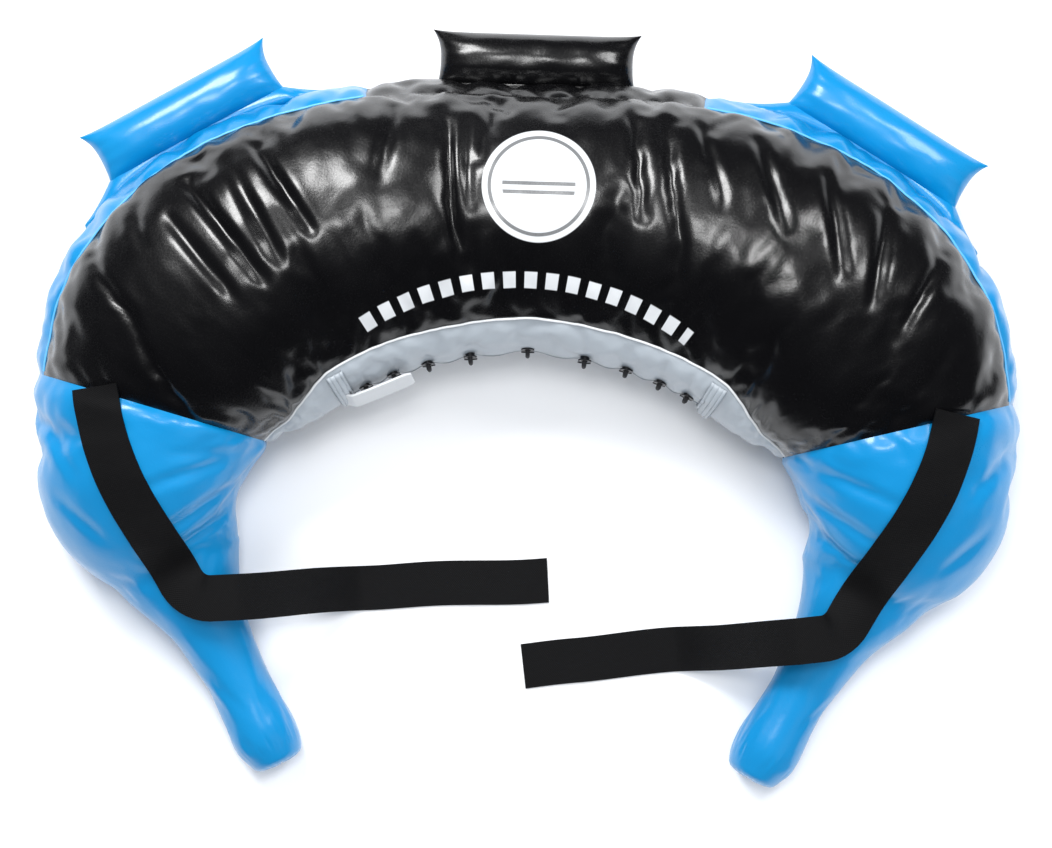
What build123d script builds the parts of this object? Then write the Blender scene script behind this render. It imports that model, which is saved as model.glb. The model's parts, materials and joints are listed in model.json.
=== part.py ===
"""Crescent-shaped weighted training bag, lying flat on its rear face.

A stitched vinyl cover holds wool packing and three sewn sand bags. Two tapered horns flex at the necks,
three padded grips pull out from the spine, the collar laces shut, and each arm carries a webbing strap.

Frame: millimetres, +X to the right, +Y from the horns to the crown, +Z up out of the front panel.
The origin is the middle of the resting footprint, on the floor.
"""

import math
import os

from build123d import *

# ---- driving dimensions -------------------------------------------------------------------------------

# Centreline of the crescent: a superellipse about the bend centre.
half_span = 265.0  # bend centre to the centreline at its widest
crown_rise = 191.0  # bend centre to the centreline at the crown
arm_drop = 116.5  # lower semi-height of the same curve, below the bend centre
squareness = 2.3  # superellipse exponent
arm_section_lean = 0.45  # share of the curve's turn that the arm's sections follow below the bend centre

# Sections along one side: (angle round the centreline, half width, half height).
crown_section = (0.0, 91.0, 76.0)
side_sections = [
    (14.0, 97.0, 77.5),
    (27.0, 101.0, 79.0),
    (40.0, 104.0, 80.0),
    (52.0, 103.0, 79.0),
    (64.0, 98.0, 76.0),
    (77.0, 84.0, 70.0),
    (88.0, 73.0, 64.0),
    (98.0, 66.5, 56.0),
    (109.0, 58.0, 46.0),
    (117.0, 47.0, 37.0),
]
settled_depth = 6.0  # how far the loaded body flattens where it rests

skin = 1.2  # thickness of the vinyl cover
webbing_thickness = 1.6
webbing_width = 32.0

# Seams of the cover
end_seam_angle = 77.0  # black centre to blue end
spine_joint_angle = 18.5  # black to blue along the spine strip
spine_inset = 9.0  # seam of the spine strip, in from the outer edge
collar_inset = 15.0  # seam of the collar, in from the inner edge
collar_band_angle = 38.0
collar_band_width = 14.0
panel_cut_angle = 89.0  # the face panels' cutting form runs past the end seams to here
cut_height = 220.0  # a cutting form this tall passes right through the bag

# Lacing
lacing_gap = 5.0
lacing_lift = 2.0  # the gap lies this far above the middle of the crown
eyelet_count = 9
eyelet_spread_angle = 31.5
eyelet_rise = 8.5  # eyelet centre above or below the middle of the gap
eyelet_bore = 2.3
eyelet_barrel = 3.2
eyelet_flange = 4.6
flange_thickness = 0.8
barrel_tail = 0.4  # the barrel ends this far inside the flap
eyelet_stand = 0.7  # the flat flange stands this far off the curved flap
eyelet_fit = 0.1
lace_diameter = 3.0
lace_bend = 2.4
lace_slack = 1.2  # the lace stands this far off the eyelet's ends
lace_channel_depth = 8.0
lace_channel_height = 4 * eyelet_rise
lace_channel_margin = 2.0  # degrees that the channel stops short of the collar bands
eyelet_hole_length = 6 * skin  # passes right through the flap
tab_length = 42.0
tab_height = 20.0
tab_corner = 6.0
tab_stand = 7.5
tab_rise = 14.0
tab_lean = 20.0
tab_root_lead = 2.5
tab_reach_angle = 14.0

# Sand bags: share of the section that each fills, and the angles that each spans
sand_share = 0.5
sand_spans = {"left_sand_bag": (-72, -52, -34), "centre_sand_bag": (-26, 0, 26), "right_sand_bag": (34, 52, 72)}

# Horns
horn_length = 156.0
horn_swing = 28.3  # angle of the horn's axis from straight down the bag, towards the middle
horn_ball = 34.0
socket_clearance = 0.5
horn_cap_radius = 17.0
horn_floor_gap = 0.3  # between the horn's flare and the floor
horn_cap_wrap = 2 * skin  # how far the end cap comes round the horn's edge
horn_flare_station = 134.0
horn_flare_radius = 24.0
horn_profile = [
    (40.0, 28.5),
    (58.0, 25.0),
    (84.0, 22.0),
    (106.0, 21.3),
    (horn_flare_station, horn_flare_radius),
    (149.0, 22.6),
]
ball_exit = 12.0  # the horn follows the ball this far past the hinge
ball_side_angle = math.radians(120.0)  # a point on the back of the ball's outline

# Side grips
grip_angles = {"left": -40.0, "centre": 0.0, "right": 40.0}
grip_radius = 17.0
grip_length = 144.0
grip_taper = 22.0
grip_end_radius = 9.0
grip_fillet = 7.0
grip_stand = 2.5
grip_tab_gap = 2.0
grip_tab_length = 22.0
grip_tab_height = 48.0
grip_tab_cut = 4 * grip_radius  # cutting depth that reaches the bag's skin behind each tab

# Straps: (angle, distance out from the centreline) along the sewn upper length
upper_strap_route = [(75.0, 35.5), (83.0, 21.9), (90.7, 6.0), (103.7, -4.5), (119.9, 2.2)]
strap_turn_radius = 22.0
strap_rest_height = 77.0
strap_lap = 30.0  # the turn starts this far back, where the sewn length still lies above it
strap_run_out = 10.0
strap_knee = 118.0
strap_knee_gap = 0.6
tail_landing = 84.0
tail_slope_run = 14.0
tail_top_radius = 16.0
tail_bend_radius = 45.0
# Free tails, as laid on the right: heading in degrees, run past the neck before the turn, and length
tail_layouts = {"left": (175.4, 2.0, 224.0), "right": (188.2, 18.0, 200.0)}

# ---- derived geometry ---------------------------------------------------------------------------------

sections = sorted(
    [crown_section] + side_sections + [(-angle, width, height) for angle, width, height in side_sections]
)
neck_angle, _, neck_height = side_sections[-1]


def horn_reach():
    """How far a horn reaches below its neck, down the bag."""
    down = math.cos(math.radians(horn_swing)) * math.cos(horn_droop())
    across = math.sqrt(1 - down**2)
    return horn_length * down + horn_cap_radius * across


def horn_droop():
    """The angle, in radians, at which the horn leans down so that its flare meets the floor."""
    return math.asin((neck_height - horn_flare_radius - horn_floor_gap) / horn_flare_station)


def drop_of(angle):
    """Height of the centreline above the bend centre at an angle."""
    level = abs(math.cos(math.radians(angle))) ** (2 / squareness)
    return crown_rise * level if abs(angle) <= 90 else -arm_drop * level


crown_top = crown_rise + crown_section[1] + grip_stand + 2 * grip_radius
bend_centre_y = (horn_reach() - drop_of(neck_angle) - crown_top) / 2


def centre_at(angle):
    """The centreline's point at an angle, positive to the right."""
    x = half_span * math.sin(math.radians(abs(angle))) ** (2 / squareness)
    return math.copysign(x, angle), bend_centre_y + drop_of(angle)


def outward_at(angle):
    """The unit direction out of the crescent at an angle, in plan."""
    rise = crown_rise if abs(angle) <= 90 else arm_drop
    x = math.sin(math.radians(abs(angle))) ** (2 / squareness)
    y = drop_of(angle) / rise
    slope_x = x ** (squareness - 1) / half_span
    slope_y = math.copysign(abs(y) ** (squareness - 1), y) / rise
    turn = math.atan2(slope_x, slope_y)
    if abs(angle) > 90:
        turn = math.pi / 2 + (turn - math.pi / 2) * arm_section_lean
    return math.copysign(math.sin(turn), angle), math.cos(turn)


def between(angle, column):
    """A section size at any angle, by straight interpolation between the listed sections."""
    for low, high in zip(sections, sections[1:]):
        if low[0] <= angle <= high[0]:
            share = (angle - low[0]) / (high[0] - low[0])
            return low[column] + share * (high[column] - low[column])
    raise ValueError(angle)


def middle_height(half_height):
    """Height of a section's middle above the floor: full sections settle more than thin ones."""
    share = (half_height - neck_height) / (between(end_seam_angle, 2) - neck_height)
    return half_height - settled_depth * min(1.0, share)


def section_plane(angle, forward=0.0):
    """The plane of the section at an angle: local X points outward, local Y up."""
    x, y = centre_at(angle)
    out_x, out_y = outward_at(angle)
    along_x, along_y = out_y, -out_x
    origin = (x + forward * along_x, y + forward * along_y, middle_height(between(angle, 2)))
    return Plane(origin=origin, x_dir=(out_x, out_y, 0), z_dir=(along_x, along_y, 0))


def off_centre(angle, distance):
    """A plan point this far out from the centreline at an angle."""
    x, y = centre_at(angle)
    out_x, out_y = outward_at(angle)
    return x + distance * out_x, y + distance * out_y


def edge_point(angle, inset, outer=True):
    """A plan point this far inside the bag's outer or inner edge."""
    reach = between(angle, 1) - inset
    return off_centre(angle, reach if outer else -reach)


def crescent(grow):
    """The crescent's closed outer form, grown or shrunk by a thickness, cut off flat at the floor."""
    end_angles = (sections[0][0], sections[-1][0])
    with BuildPart() as form:
        for angle, half_width, half_height in sections:
            shift = -math.copysign(min(grow, 0.0), -angle) if angle in end_angles else 0.0
            with BuildSketch(section_plane(angle, shift)):
                Ellipse(half_width + grow, half_height + grow)
        loft(ruled=True)
        split(bisect_by=Plane.XY.offset(-min(grow, 0.0)), keep=Keep.TOP)
    return form.part


def plan_band(outer_inset, inner_inset, end_angle, from_inner=False):
    """A plan face between two curves that follow the bag's edges, out to an angle each side."""
    angles = [angle for angle, _, _ in sections if abs(angle) < end_angle]
    angles = [-end_angle] + angles + [end_angle]
    far = [edge_point(angle, outer_inset, outer=not from_inner) for angle in angles]
    near = [edge_point(angle, inner_inset, outer=False) for angle in angles]
    with BuildSketch() as band:
        with BuildLine():
            Spline(*far)
            Spline(*near)
            Line(far[0], near[0])
            Line(far[-1], near[-1])
        make_face()
    return band.sketch


def save(part, name):
    """Labels a finished piece and writes its STEP file."""
    part.label = name
    export_step(part, f"parts/{name}.step")


def mirrored(part):
    """The same piece on the other side of the bag."""
    with BuildPart() as copy:
        add(mirror(part, about=Plane.YZ, mode=Mode.PRIVATE))
    return copy.part


def save_both(right_part, name):
    """Writes a piece for the right side and its mirror for the left."""
    save(right_part, f"right_{name}")
    save(mirrored(right_part), f"left_{name}")


os.makedirs("parts", exist_ok=True)

outer_form = crescent(0.0)
inner_form = crescent(-skin)
strap_form = crescent(webbing_thickness)
neck_plane = section_plane(neck_angle)
neck_point = neck_plane.origin
right_seam = section_plane(end_seam_angle)
left_seam = section_plane(-end_seam_angle)
mid_level = middle_height(crown_section[2]) + lacing_lift  # the lacing gap and the wool's parting level

# ---- cover: the sewn vinyl panels ---------------------------------------------------------------------

with BuildPart() as cover:
    add(outer_form)
    add(inner_form, mode=Mode.SUBTRACT)

with BuildPart() as centre_cover:
    add(cover.part)
    split(bisect_by=right_seam, keep=Keep.BOTTOM)
    split(bisect_by=left_seam, keep=Keep.TOP)

with BuildPart() as panel_prism:
    with BuildSketch():
        add(plan_band(spine_inset, collar_inset, panel_cut_angle))
    extrude(amount=cut_height, both=True)

with BuildPart() as face_panels:
    add(centre_cover.part)
    add(panel_prism.part, mode=Mode.INTERSECT)
rear_panel, front_panel = face_panels.solids().sort_by(Axis.Z)

with BuildPart() as edge_strips:
    add(centre_cover.part)
    add(panel_prism.part, mode=Mode.SUBTRACT)
collar_strip, spine_strip = edge_strips.solids().sort_by(Axis.Y)

with BuildPart() as front_centre_panel:
    add(front_panel)
save(front_centre_panel.part, "front_centre_panel")

with BuildPart() as rear_centre_panel:
    add(rear_panel)
save(rear_centre_panel.part, "rear_centre_panel")

with BuildPart() as spine_centre_strip:
    add(spine_strip)
    split(bisect_by=section_plane(spine_joint_angle), keep=Keep.BOTTOM)
    split(bisect_by=section_plane(-spine_joint_angle), keep=Keep.TOP)
save(spine_centre_strip.part, "spine_centre_strip")

with BuildPart() as spine_side_strip:
    add(spine_strip)
    split(bisect_by=section_plane(spine_joint_angle), keep=Keep.TOP)
save_both(spine_side_strip.part, "spine_strip")

# The blue ends: front and rear halves meet on a plane that falls towards the neck, with a socket for the horn.
with BuildPart() as horn_socket:
    with Locations(neck_plane):
        Sphere(horn_ball + socket_clearance)

seam_middle = right_seam.origin
fall = (seam_middle.Z - neck_point.Z) / (seam_middle.Y - neck_point.Y)
parting_plane = Plane(origin=neck_point, x_dir=(1, 0, 0), z_dir=(0, -fall, 1))

with BuildPart() as end_cover:
    add(cover.part)
    split(bisect_by=Plane.YZ, keep=Keep.TOP)
    split(bisect_by=right_seam, keep=Keep.TOP)
    add(horn_socket.part, mode=Mode.SUBTRACT)

with BuildPart() as front_end_panel:
    add(end_cover.part)
    split(bisect_by=parting_plane, keep=Keep.TOP)
save_both(front_end_panel.part, "front_end_panel")

with BuildPart() as rear_end_panel:
    add(end_cover.part)
    split(bisect_by=parting_plane, keep=Keep.BOTTOM)
save_both(rear_end_panel.part, "rear_end_panel")

# ---- collar: laced opening on the inside of the crescent ----------------------------------------------


outer_skin = outer_form.faces().filter_by(GeomType.PLANE, reverse=True)


def on_collar(angle, rise):
    """The point of the bag's inner side at an angle, this far above the lacing gap, and the way out of it."""
    frame = section_plane(angle)
    above_middle = mid_level + rise - frame.origin.Z
    reach = between(angle, 1) * math.sqrt(1 - (above_middle / between(angle, 2)) ** 2)
    estimate = frame.origin - frame.x_dir * reach + Vector(0, 0, above_middle)
    found = [(face, face.closest_points(Vertex(estimate))[0]) for face in outer_skin]
    face, point = min(found, key=lambda pair: (pair[1] - estimate).length)
    lean = math.asin(face.normal_at(point).Z)
    return point, Vector(0, 0, 1) * math.sin(lean) - frame.x_dir * math.cos(lean)


eyelet_angles = [
    eyelet_spread_angle * (2 * index / (eyelet_count - 1) - 1) for index in range(eyelet_count)
]
eyelet_seats = [
    on_collar(angle, rise)
    for angle in eyelet_angles
    for rise in (eyelet_rise, -eyelet_rise)
]


def eyelet_plane(seat):
    """A plane on the flap's outer face at an eyelet, with local Z out of the bag."""
    point, outward = seat
    return Plane(origin=point, z_dir=outward)


with BuildPart() as eyelet_holes:
    for seat in eyelet_seats:
        with Locations(eyelet_plane(seat)):
            Cylinder(eyelet_barrel + eyelet_fit, eyelet_hole_length)

with BuildPart() as collar_opening:
    add(collar_strip)
    split(bisect_by=section_plane(collar_band_angle), keep=Keep.BOTTOM)
    split(bisect_by=section_plane(-collar_band_angle), keep=Keep.TOP)
    with Locations((0, 0, mid_level)):
        Box(2 * half_span, 4 * half_span, lacing_gap, mode=Mode.SUBTRACT)
    add(eyelet_holes.part, mode=Mode.SUBTRACT)
rear_flap, front_flap = collar_opening.solids().sort_by(Axis.Z)

with BuildPart() as collar_front_flap:
    add(front_flap)
save(collar_front_flap.part, "collar_front_flap")

with BuildPart() as collar_rear_flap:
    add(rear_flap)
save(collar_rear_flap.part, "collar_rear_flap")

with BuildPart() as collar_end:
    add(collar_strip)
    split(bisect_by=section_plane(collar_band_angle), keep=Keep.TOP)
save_both(collar_end.part, "collar_end")

with BuildPart() as collar_band:
    add(strap_form)
    add(outer_form, mode=Mode.SUBTRACT)
    split(bisect_by=section_plane(collar_band_angle, -collar_band_width / 2), keep=Keep.TOP)
    split(bisect_by=section_plane(collar_band_angle, collar_band_width / 2), keep=Keep.BOTTOM)
    add(panel_prism.part, mode=Mode.SUBTRACT)
inner_band = collar_band.solids().sort_by(Axis.Y)[0]
with BuildPart() as collar_reinforcement:
    add(inner_band)
save_both(collar_reinforcement.part, "collar_band")

# One eyelet: a flanged tube, repeated down both flaps.
flange_top = eyelet_stand + flange_thickness
with BuildPart() as eyelet:
    with BuildSketch(Plane.XZ):
        with BuildLine():
            Polyline(
                (eyelet_bore, -skin - barrel_tail),
                (eyelet_barrel, -skin - barrel_tail),
                (eyelet_barrel, eyelet_stand),
                (eyelet_flange, eyelet_stand),
                (eyelet_flange, flange_top),
                (eyelet_bore, flange_top),
                close=True,
            )
        make_face()
    revolve(axis=Axis.Z)

with BuildPart() as eyelets:
    for seat in eyelet_seats:
        with Locations(eyelet_plane(seat)):
            add(eyelet.part)
save(eyelets.part, "eyelets")

# The lace crosses the gap outside, dives through an eyelet and runs on to the next pair inside.
lace_outside = flange_top + lace_diameter / 2 + lace_slack
lace_inside = skin + barrel_tail + lace_diameter / 2 + lace_slack


def lace_stop(seat, lift):
    """A point on an eyelet's axis, lifted out of the bag by some height."""
    frame = eyelet_plane(seat)
    return tuple(frame.origin + frame.z_dir * lift)


lace_route = []
for front_seat, rear_seat in zip(eyelet_seats[::2], eyelet_seats[1::2]):
    lace_route += [
        lace_stop(front_seat, -lace_inside),
        lace_stop(front_seat, lace_outside),
        lace_stop(rear_seat, lace_outside),
        lace_stop(rear_seat, -lace_inside),
    ]
with BuildPart() as lace:
    with BuildLine() as lace_line:
        FilletPolyline(*lace_route, radius=lace_bend)
    with BuildSketch(Plane(origin=lace_line.line @ 0, z_dir=lace_line.line % 0)):
        Circle(lace_diameter / 2)
    sweep(transition=Transition.ROUND)
save(lace.part, "lace")
lace_length = sum(edge.length for edge in lace_line.edges())
lace_section = math.pi * lace_diameter**2 / 4
print("lace", round(lace_length, 1), "long, volume over section and length", lace.part.volume / (lace_section * lace_length))

# A closing tab hinged beside the left band. It leans back over the end of the lacing.
tab_root_angle = -collar_band_angle + tab_root_lead
tab_root, _ = on_collar(tab_root_angle, tab_rise)
tab_tip, _ = on_collar(tab_root_angle + tab_reach_angle, tab_rise)
tab_along = Vector(tab_tip.X - tab_root.X, tab_tip.Y - tab_root.Y, 0).normalized()
tab_out = Vector(tab_along.Y, -tab_along.X, 0)
tab_up = Vector(0, 0, 1) * math.cos(math.radians(tab_lean)) - tab_out * math.sin(math.radians(tab_lean))
tab_hinge = tab_root + tab_out * tab_stand
tab_plane = Plane(origin=tab_hinge, x_dir=tab_along, z_dir=tab_up)
with BuildPart() as closure_tab:
    with Locations(tab_plane):
        Box(tab_length, skin, tab_height, align=(Align.MIN, Align.CENTER, Align.CENTER))
    tip = closure_tab.faces().sort_by(Axis(tab_hinge, tab_along))[-1]
    fillet(tip.edges().sort_by(SortBy.LENGTH)[:2], tab_corner)
save(closure_tab.part, "closure_tab")

# ---- filling ------------------------------------------------------------------------------------------


def sand_bag(angles):
    """A sewn tube of sand on the centreline, through three sections."""
    with BuildPart() as bag:
        for angle in angles:
            with BuildSketch(section_plane(angle)):
                Ellipse(between(angle, 1) * sand_share, between(angle, 2) * sand_share)
        loft(ruled=True)
    return bag.part


sand_bags = {name: sand_bag(angles) for name, angles in sand_spans.items()}
for name, bag in sand_bags.items():
    save(bag, name)

with BuildPart() as lace_channel:
    with BuildSketch(Plane.XY.offset(mid_level - lace_channel_height / 2)):
        add(plan_band(skin + lace_channel_depth, -skin, collar_band_angle - lace_channel_margin, from_inner=True))
    extrude(amount=lace_channel_height)

with BuildPart() as centre_wool:
    add(inner_form)
    split(bisect_by=right_seam, keep=Keep.BOTTOM)
    split(bisect_by=left_seam, keep=Keep.TOP)
    for bag in sand_bags.values():
        add(bag, mode=Mode.SUBTRACT)
    add(lace_channel.part, mode=Mode.SUBTRACT)

with BuildPart() as front_wool:
    add(centre_wool.part)
    split(bisect_by=Plane.XY.offset(mid_level), keep=Keep.TOP)
save(front_wool.part, "front_wool")

with BuildPart() as rear_wool:
    add(centre_wool.part)
    split(bisect_by=Plane.XY.offset(mid_level), keep=Keep.BOTTOM)
save(rear_wool.part, "rear_wool")

with BuildPart() as arm_wool:
    add(inner_form)
    split(bisect_by=Plane.YZ, keep=Keep.TOP)
    split(bisect_by=right_seam, keep=Keep.TOP)
    add(horn_socket.part, mode=Mode.SUBTRACT)
save_both(arm_wool.part, "arm_wool")

# ---- horns --------------------------------------------------------------------------------------------

swing = math.radians(horn_swing)
droop = horn_droop()
horn_axis = Vector(-math.sin(swing) * math.cos(droop), -math.cos(swing) * math.cos(droop), -math.sin(droop))
horn_side = Vector(math.cos(swing), -math.sin(swing), 0)
horn_plane = Plane(origin=neck_point, x_dir=horn_axis, z_dir=horn_axis.cross(horn_side))


def horn_form(wall):
    """The horn's closed form, from its ball in the arm's socket to its flat end, less a wall."""
    ball = horn_ball - wall
    exit_radius = math.sqrt(horn_ball**2 - ball_exit**2) - wall
    with BuildPart() as form:
        with BuildSketch(horn_plane):
            with BuildLine():
                side = [(ball_exit, exit_radius)] + [(at, radius - wall) for at, radius in horn_profile]
                end = (horn_length - wall, horn_cap_radius)
                ThreePointArc((-ball, 0), (ball * math.cos(ball_side_angle), ball * math.sin(ball_side_angle)), side[0])
                Spline(*side, end)
                Line(end, (end[0], 0))
                Line((end[0], 0), (-ball, 0))
            make_face()
        revolve(axis=Axis(neck_point, horn_axis))
    return form.part


horn_outer = horn_form(0.0)
horn_inner = horn_form(skin)
with BuildPart() as horn_end_disc:
    with BuildSketch(Plane(origin=neck_point + horn_axis * (horn_length - horn_cap_wrap), z_dir=horn_axis)):
        Circle(horn_cap_radius)
    extrude(amount=2 * horn_cap_wrap)

with BuildPart() as horn_cover:
    add(horn_outer)
    add(horn_inner, mode=Mode.SUBTRACT)
    add(horn_end_disc.part, mode=Mode.SUBTRACT)
save_both(horn_cover.part, "horn_cover")

with BuildPart() as horn_end_cap:
    add(horn_outer)
    add(horn_inner, mode=Mode.SUBTRACT)
    add(horn_end_disc.part, mode=Mode.INTERSECT)
save_both(horn_end_cap.part, "horn_end_cap")

with BuildPart() as horn_core:
    add(horn_inner)
save_both(horn_core.part, "horn_core")

# ---- side grips ---------------------------------------------------------------------------------------

with BuildPart() as overlay:
    add(strap_form)
    add(outer_form, mode=Mode.SUBTRACT)


def grip_form(frame, wall):
    """A padded roll along the frame's Z, tapered at both ends, less a wall."""
    half = grip_length / 2 - wall
    with BuildPart() as roll:
        with BuildSketch(frame * Plane.XZ):
            with BuildLine():
                FilletPolyline(
                    (0, -half),
                    (grip_end_radius - wall, -half),
                    (grip_radius - wall, -half + grip_taper),
                    (grip_radius - wall, half - grip_taper),
                    (grip_end_radius - wall, half),
                    (0, half),
                    radius=grip_fillet,
                )
                Line((0, half), (0, -half))
            make_face()
        revolve(axis=Axis(frame.origin, frame.z_dir))
    return roll.part


for side, angle in grip_angles.items():
    spine_frame = section_plane(angle)
    spine_point = spine_frame.origin + spine_frame.x_dir * between(angle, 1)
    middle = spine_point + spine_frame.x_dir * (grip_stand + grip_radius)
    grip_frame = Plane(origin=middle, x_dir=spine_frame.x_dir, z_dir=spine_frame.z_dir)
    roll_outer = grip_form(grip_frame, 0.0)
    roll_inner = grip_form(grip_frame, skin)

    with BuildPart() as grip_cover:
        add(roll_outer)
        add(roll_inner, mode=Mode.SUBTRACT)
    save(grip_cover.part, f"{side}_grip_cover")

    with BuildPart() as grip_core:
        add(roll_inner)
    save(grip_core.part, f"{side}_grip_core")

    tab_middle = grip_length / 2 + grip_tab_gap + grip_tab_length / 2
    with BuildPart() as tab_boxes:
        with Locations(Plane(origin=spine_point, x_dir=spine_frame.x_dir, z_dir=spine_frame.z_dir)):
            with Locations((0, 0, tab_middle), (0, 0, -tab_middle)):
                Box(grip_tab_cut, grip_tab_height, grip_tab_length)
    with BuildPart() as grip_tabs:
        add(overlay.part)
        add(tab_boxes.part, mode=Mode.INTERSECT)
    save(grip_tabs.part, f"{side}_grip_tabs")
    print(side, "grip slides along", spine_frame.x_dir)

# ---- straps -------------------------------------------------------------------------------------------

with BuildLine() as upper_strap_line:
    Spline(*[off_centre(angle, distance) for angle, distance in upper_strap_route])
upper_strap_end = upper_strap_line.line @ 1
upper_strap_heading = upper_strap_line.line % 1

with BuildPart() as upper_strap_prism:
    with BuildSketch(Plane.XY.offset(neck_point.Z)):
        trace(upper_strap_line.line, line_width=webbing_width)
    extrude(amount=cut_height)

with BuildPart() as upper_strap:
    add(overlay.part)
    add(upper_strap_prism.part, mode=Mode.INTERSECT)
save_both(upper_strap.part, "upper_strap")


def strap_turn(heading, run_in):
    """The sewn turn of a strap over the neck on the right side, and the frame where its free tail starts."""
    leave = Vector(math.cos(math.radians(heading)), math.sin(math.radians(heading)), 0)
    turn = -upper_strap_heading.get_angle(leave)
    with BuildLine() as line:
        Line(upper_strap_end - upper_strap_heading * strap_lap, upper_strap_end + upper_strap_heading * run_in)
        JernArc(line.line @ 1, upper_strap_heading, strap_turn_radius, turn)
        run_out = Line(line.line @ 1, line.line @ 1 + leave * strap_run_out)
    with BuildPart() as piece:
        with BuildSketch(Plane.XY.offset(strap_rest_height)):
            trace(line.line, line_width=webbing_width)
        extrude(amount=webbing_thickness)
        add(strap_form, mode=Mode.SUBTRACT)
    end = run_out @ 1
    return piece.part, Plane(origin=(end.X, end.Y, 0), x_dir=leave, z_dir=(0, 0, 1))


def tail_strip(frame, start, stop, falling):
    """A length of webbing along the frame's X, lying on the floor; a falling one comes down to it first."""
    side_view = Plane(origin=frame.origin, x_dir=frame.x_dir, z_dir=-frame.y_dir)
    with BuildPart() as strip:
        with BuildSketch(side_view.offset(-webbing_width / 2)):
            with BuildLine():
                if falling:
                    FilletPolyline(
                        (start, strap_rest_height),
                        (start + tail_slope_run, strap_rest_height),
                        (tail_landing, 0),
                        (stop, 0),
                        radius=[tail_top_radius, tail_bend_radius],
                    )
                else:
                    Line((start, 0), (stop, 0))
                offset(amount=webbing_thickness, side=Side.LEFT)
            make_face()
        extrude(amount=webbing_width)
    return strip.part


def strap(side, heading, run_in, length):
    """One strap's sewn turn over the neck and its free tail, in two hinged lengths."""
    turn_part, frame = strap_turn(heading, run_in)
    half_gap = strap_knee_gap / 2
    pieces = {
        "strap_turn": turn_part,
        "strap_tail_inner": tail_strip(frame, strap_knee_gap, strap_knee - half_gap, True),
        "strap_tail_outer": tail_strip(frame, strap_knee + half_gap, length, False),
    }
    for name, piece in pieces.items():
        save(piece if side == "right" else mirrored(piece), f"{side}_{name}")
    print(side, "tail starts at", frame.origin, "and runs along", frame.x_dir)


for side, (heading, run_in, length) in tail_layouts.items():
    strap(side, heading, run_in, length)

print("neck", neck_point, "tab hinge", tab_hinge, "tab hinge axis", tab_up)
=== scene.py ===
"""Crescent training bag: sewn vinyl cover, laced collar, padded grips, webbing straps and two bending horns.

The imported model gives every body, joint and outer size. This script makes the visible fabric on that frame.
Lengths are metres. +X is right, +Y runs from the horns to the crown, +Z is up out of the front panel.
"""

import json
import logging
import math
from dataclasses import dataclass, field
from enum import Enum
from typing import Callable, Sequence

import bmesh
import bpy
import numpy as np
from mathutils import Matrix, Vector, noise
from mathutils.bvhtree import BVHTree

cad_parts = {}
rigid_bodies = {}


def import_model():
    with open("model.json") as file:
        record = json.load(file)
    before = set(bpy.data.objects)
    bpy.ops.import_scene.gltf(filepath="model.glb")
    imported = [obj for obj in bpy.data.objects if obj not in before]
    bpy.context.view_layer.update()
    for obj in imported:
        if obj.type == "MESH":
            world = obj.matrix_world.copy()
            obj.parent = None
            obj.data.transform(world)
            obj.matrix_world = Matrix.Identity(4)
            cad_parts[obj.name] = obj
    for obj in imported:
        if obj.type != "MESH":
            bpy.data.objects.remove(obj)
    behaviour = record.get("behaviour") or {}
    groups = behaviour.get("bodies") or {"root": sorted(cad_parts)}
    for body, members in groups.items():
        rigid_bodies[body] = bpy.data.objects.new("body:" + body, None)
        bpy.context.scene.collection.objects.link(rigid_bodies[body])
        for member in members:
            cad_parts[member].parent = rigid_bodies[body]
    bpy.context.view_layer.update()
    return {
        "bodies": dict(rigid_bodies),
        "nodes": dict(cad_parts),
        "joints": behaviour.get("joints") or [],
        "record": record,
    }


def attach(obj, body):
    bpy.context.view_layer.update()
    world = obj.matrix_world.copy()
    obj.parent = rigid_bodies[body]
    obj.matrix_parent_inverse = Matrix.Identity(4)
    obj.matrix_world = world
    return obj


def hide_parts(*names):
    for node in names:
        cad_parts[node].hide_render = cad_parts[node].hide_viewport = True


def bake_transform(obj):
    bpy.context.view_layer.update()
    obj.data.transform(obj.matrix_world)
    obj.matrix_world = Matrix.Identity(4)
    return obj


log = logging.getLogger("crescent_bag")

MM = 0.001


class Body(str, Enum):
    """The moving bodies that pieces ride on."""

    BAG = "bag"


class Side(Enum):
    """One side of the bag, with the sign of its X."""

    LEFT = -1
    RIGHT = 1

    @property
    def word(self) -> str:
        """The side's name as it stands in node and body names."""
        return self.name.lower()


# ---- shader expressions --------------------------------------------------------------------------------


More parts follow.
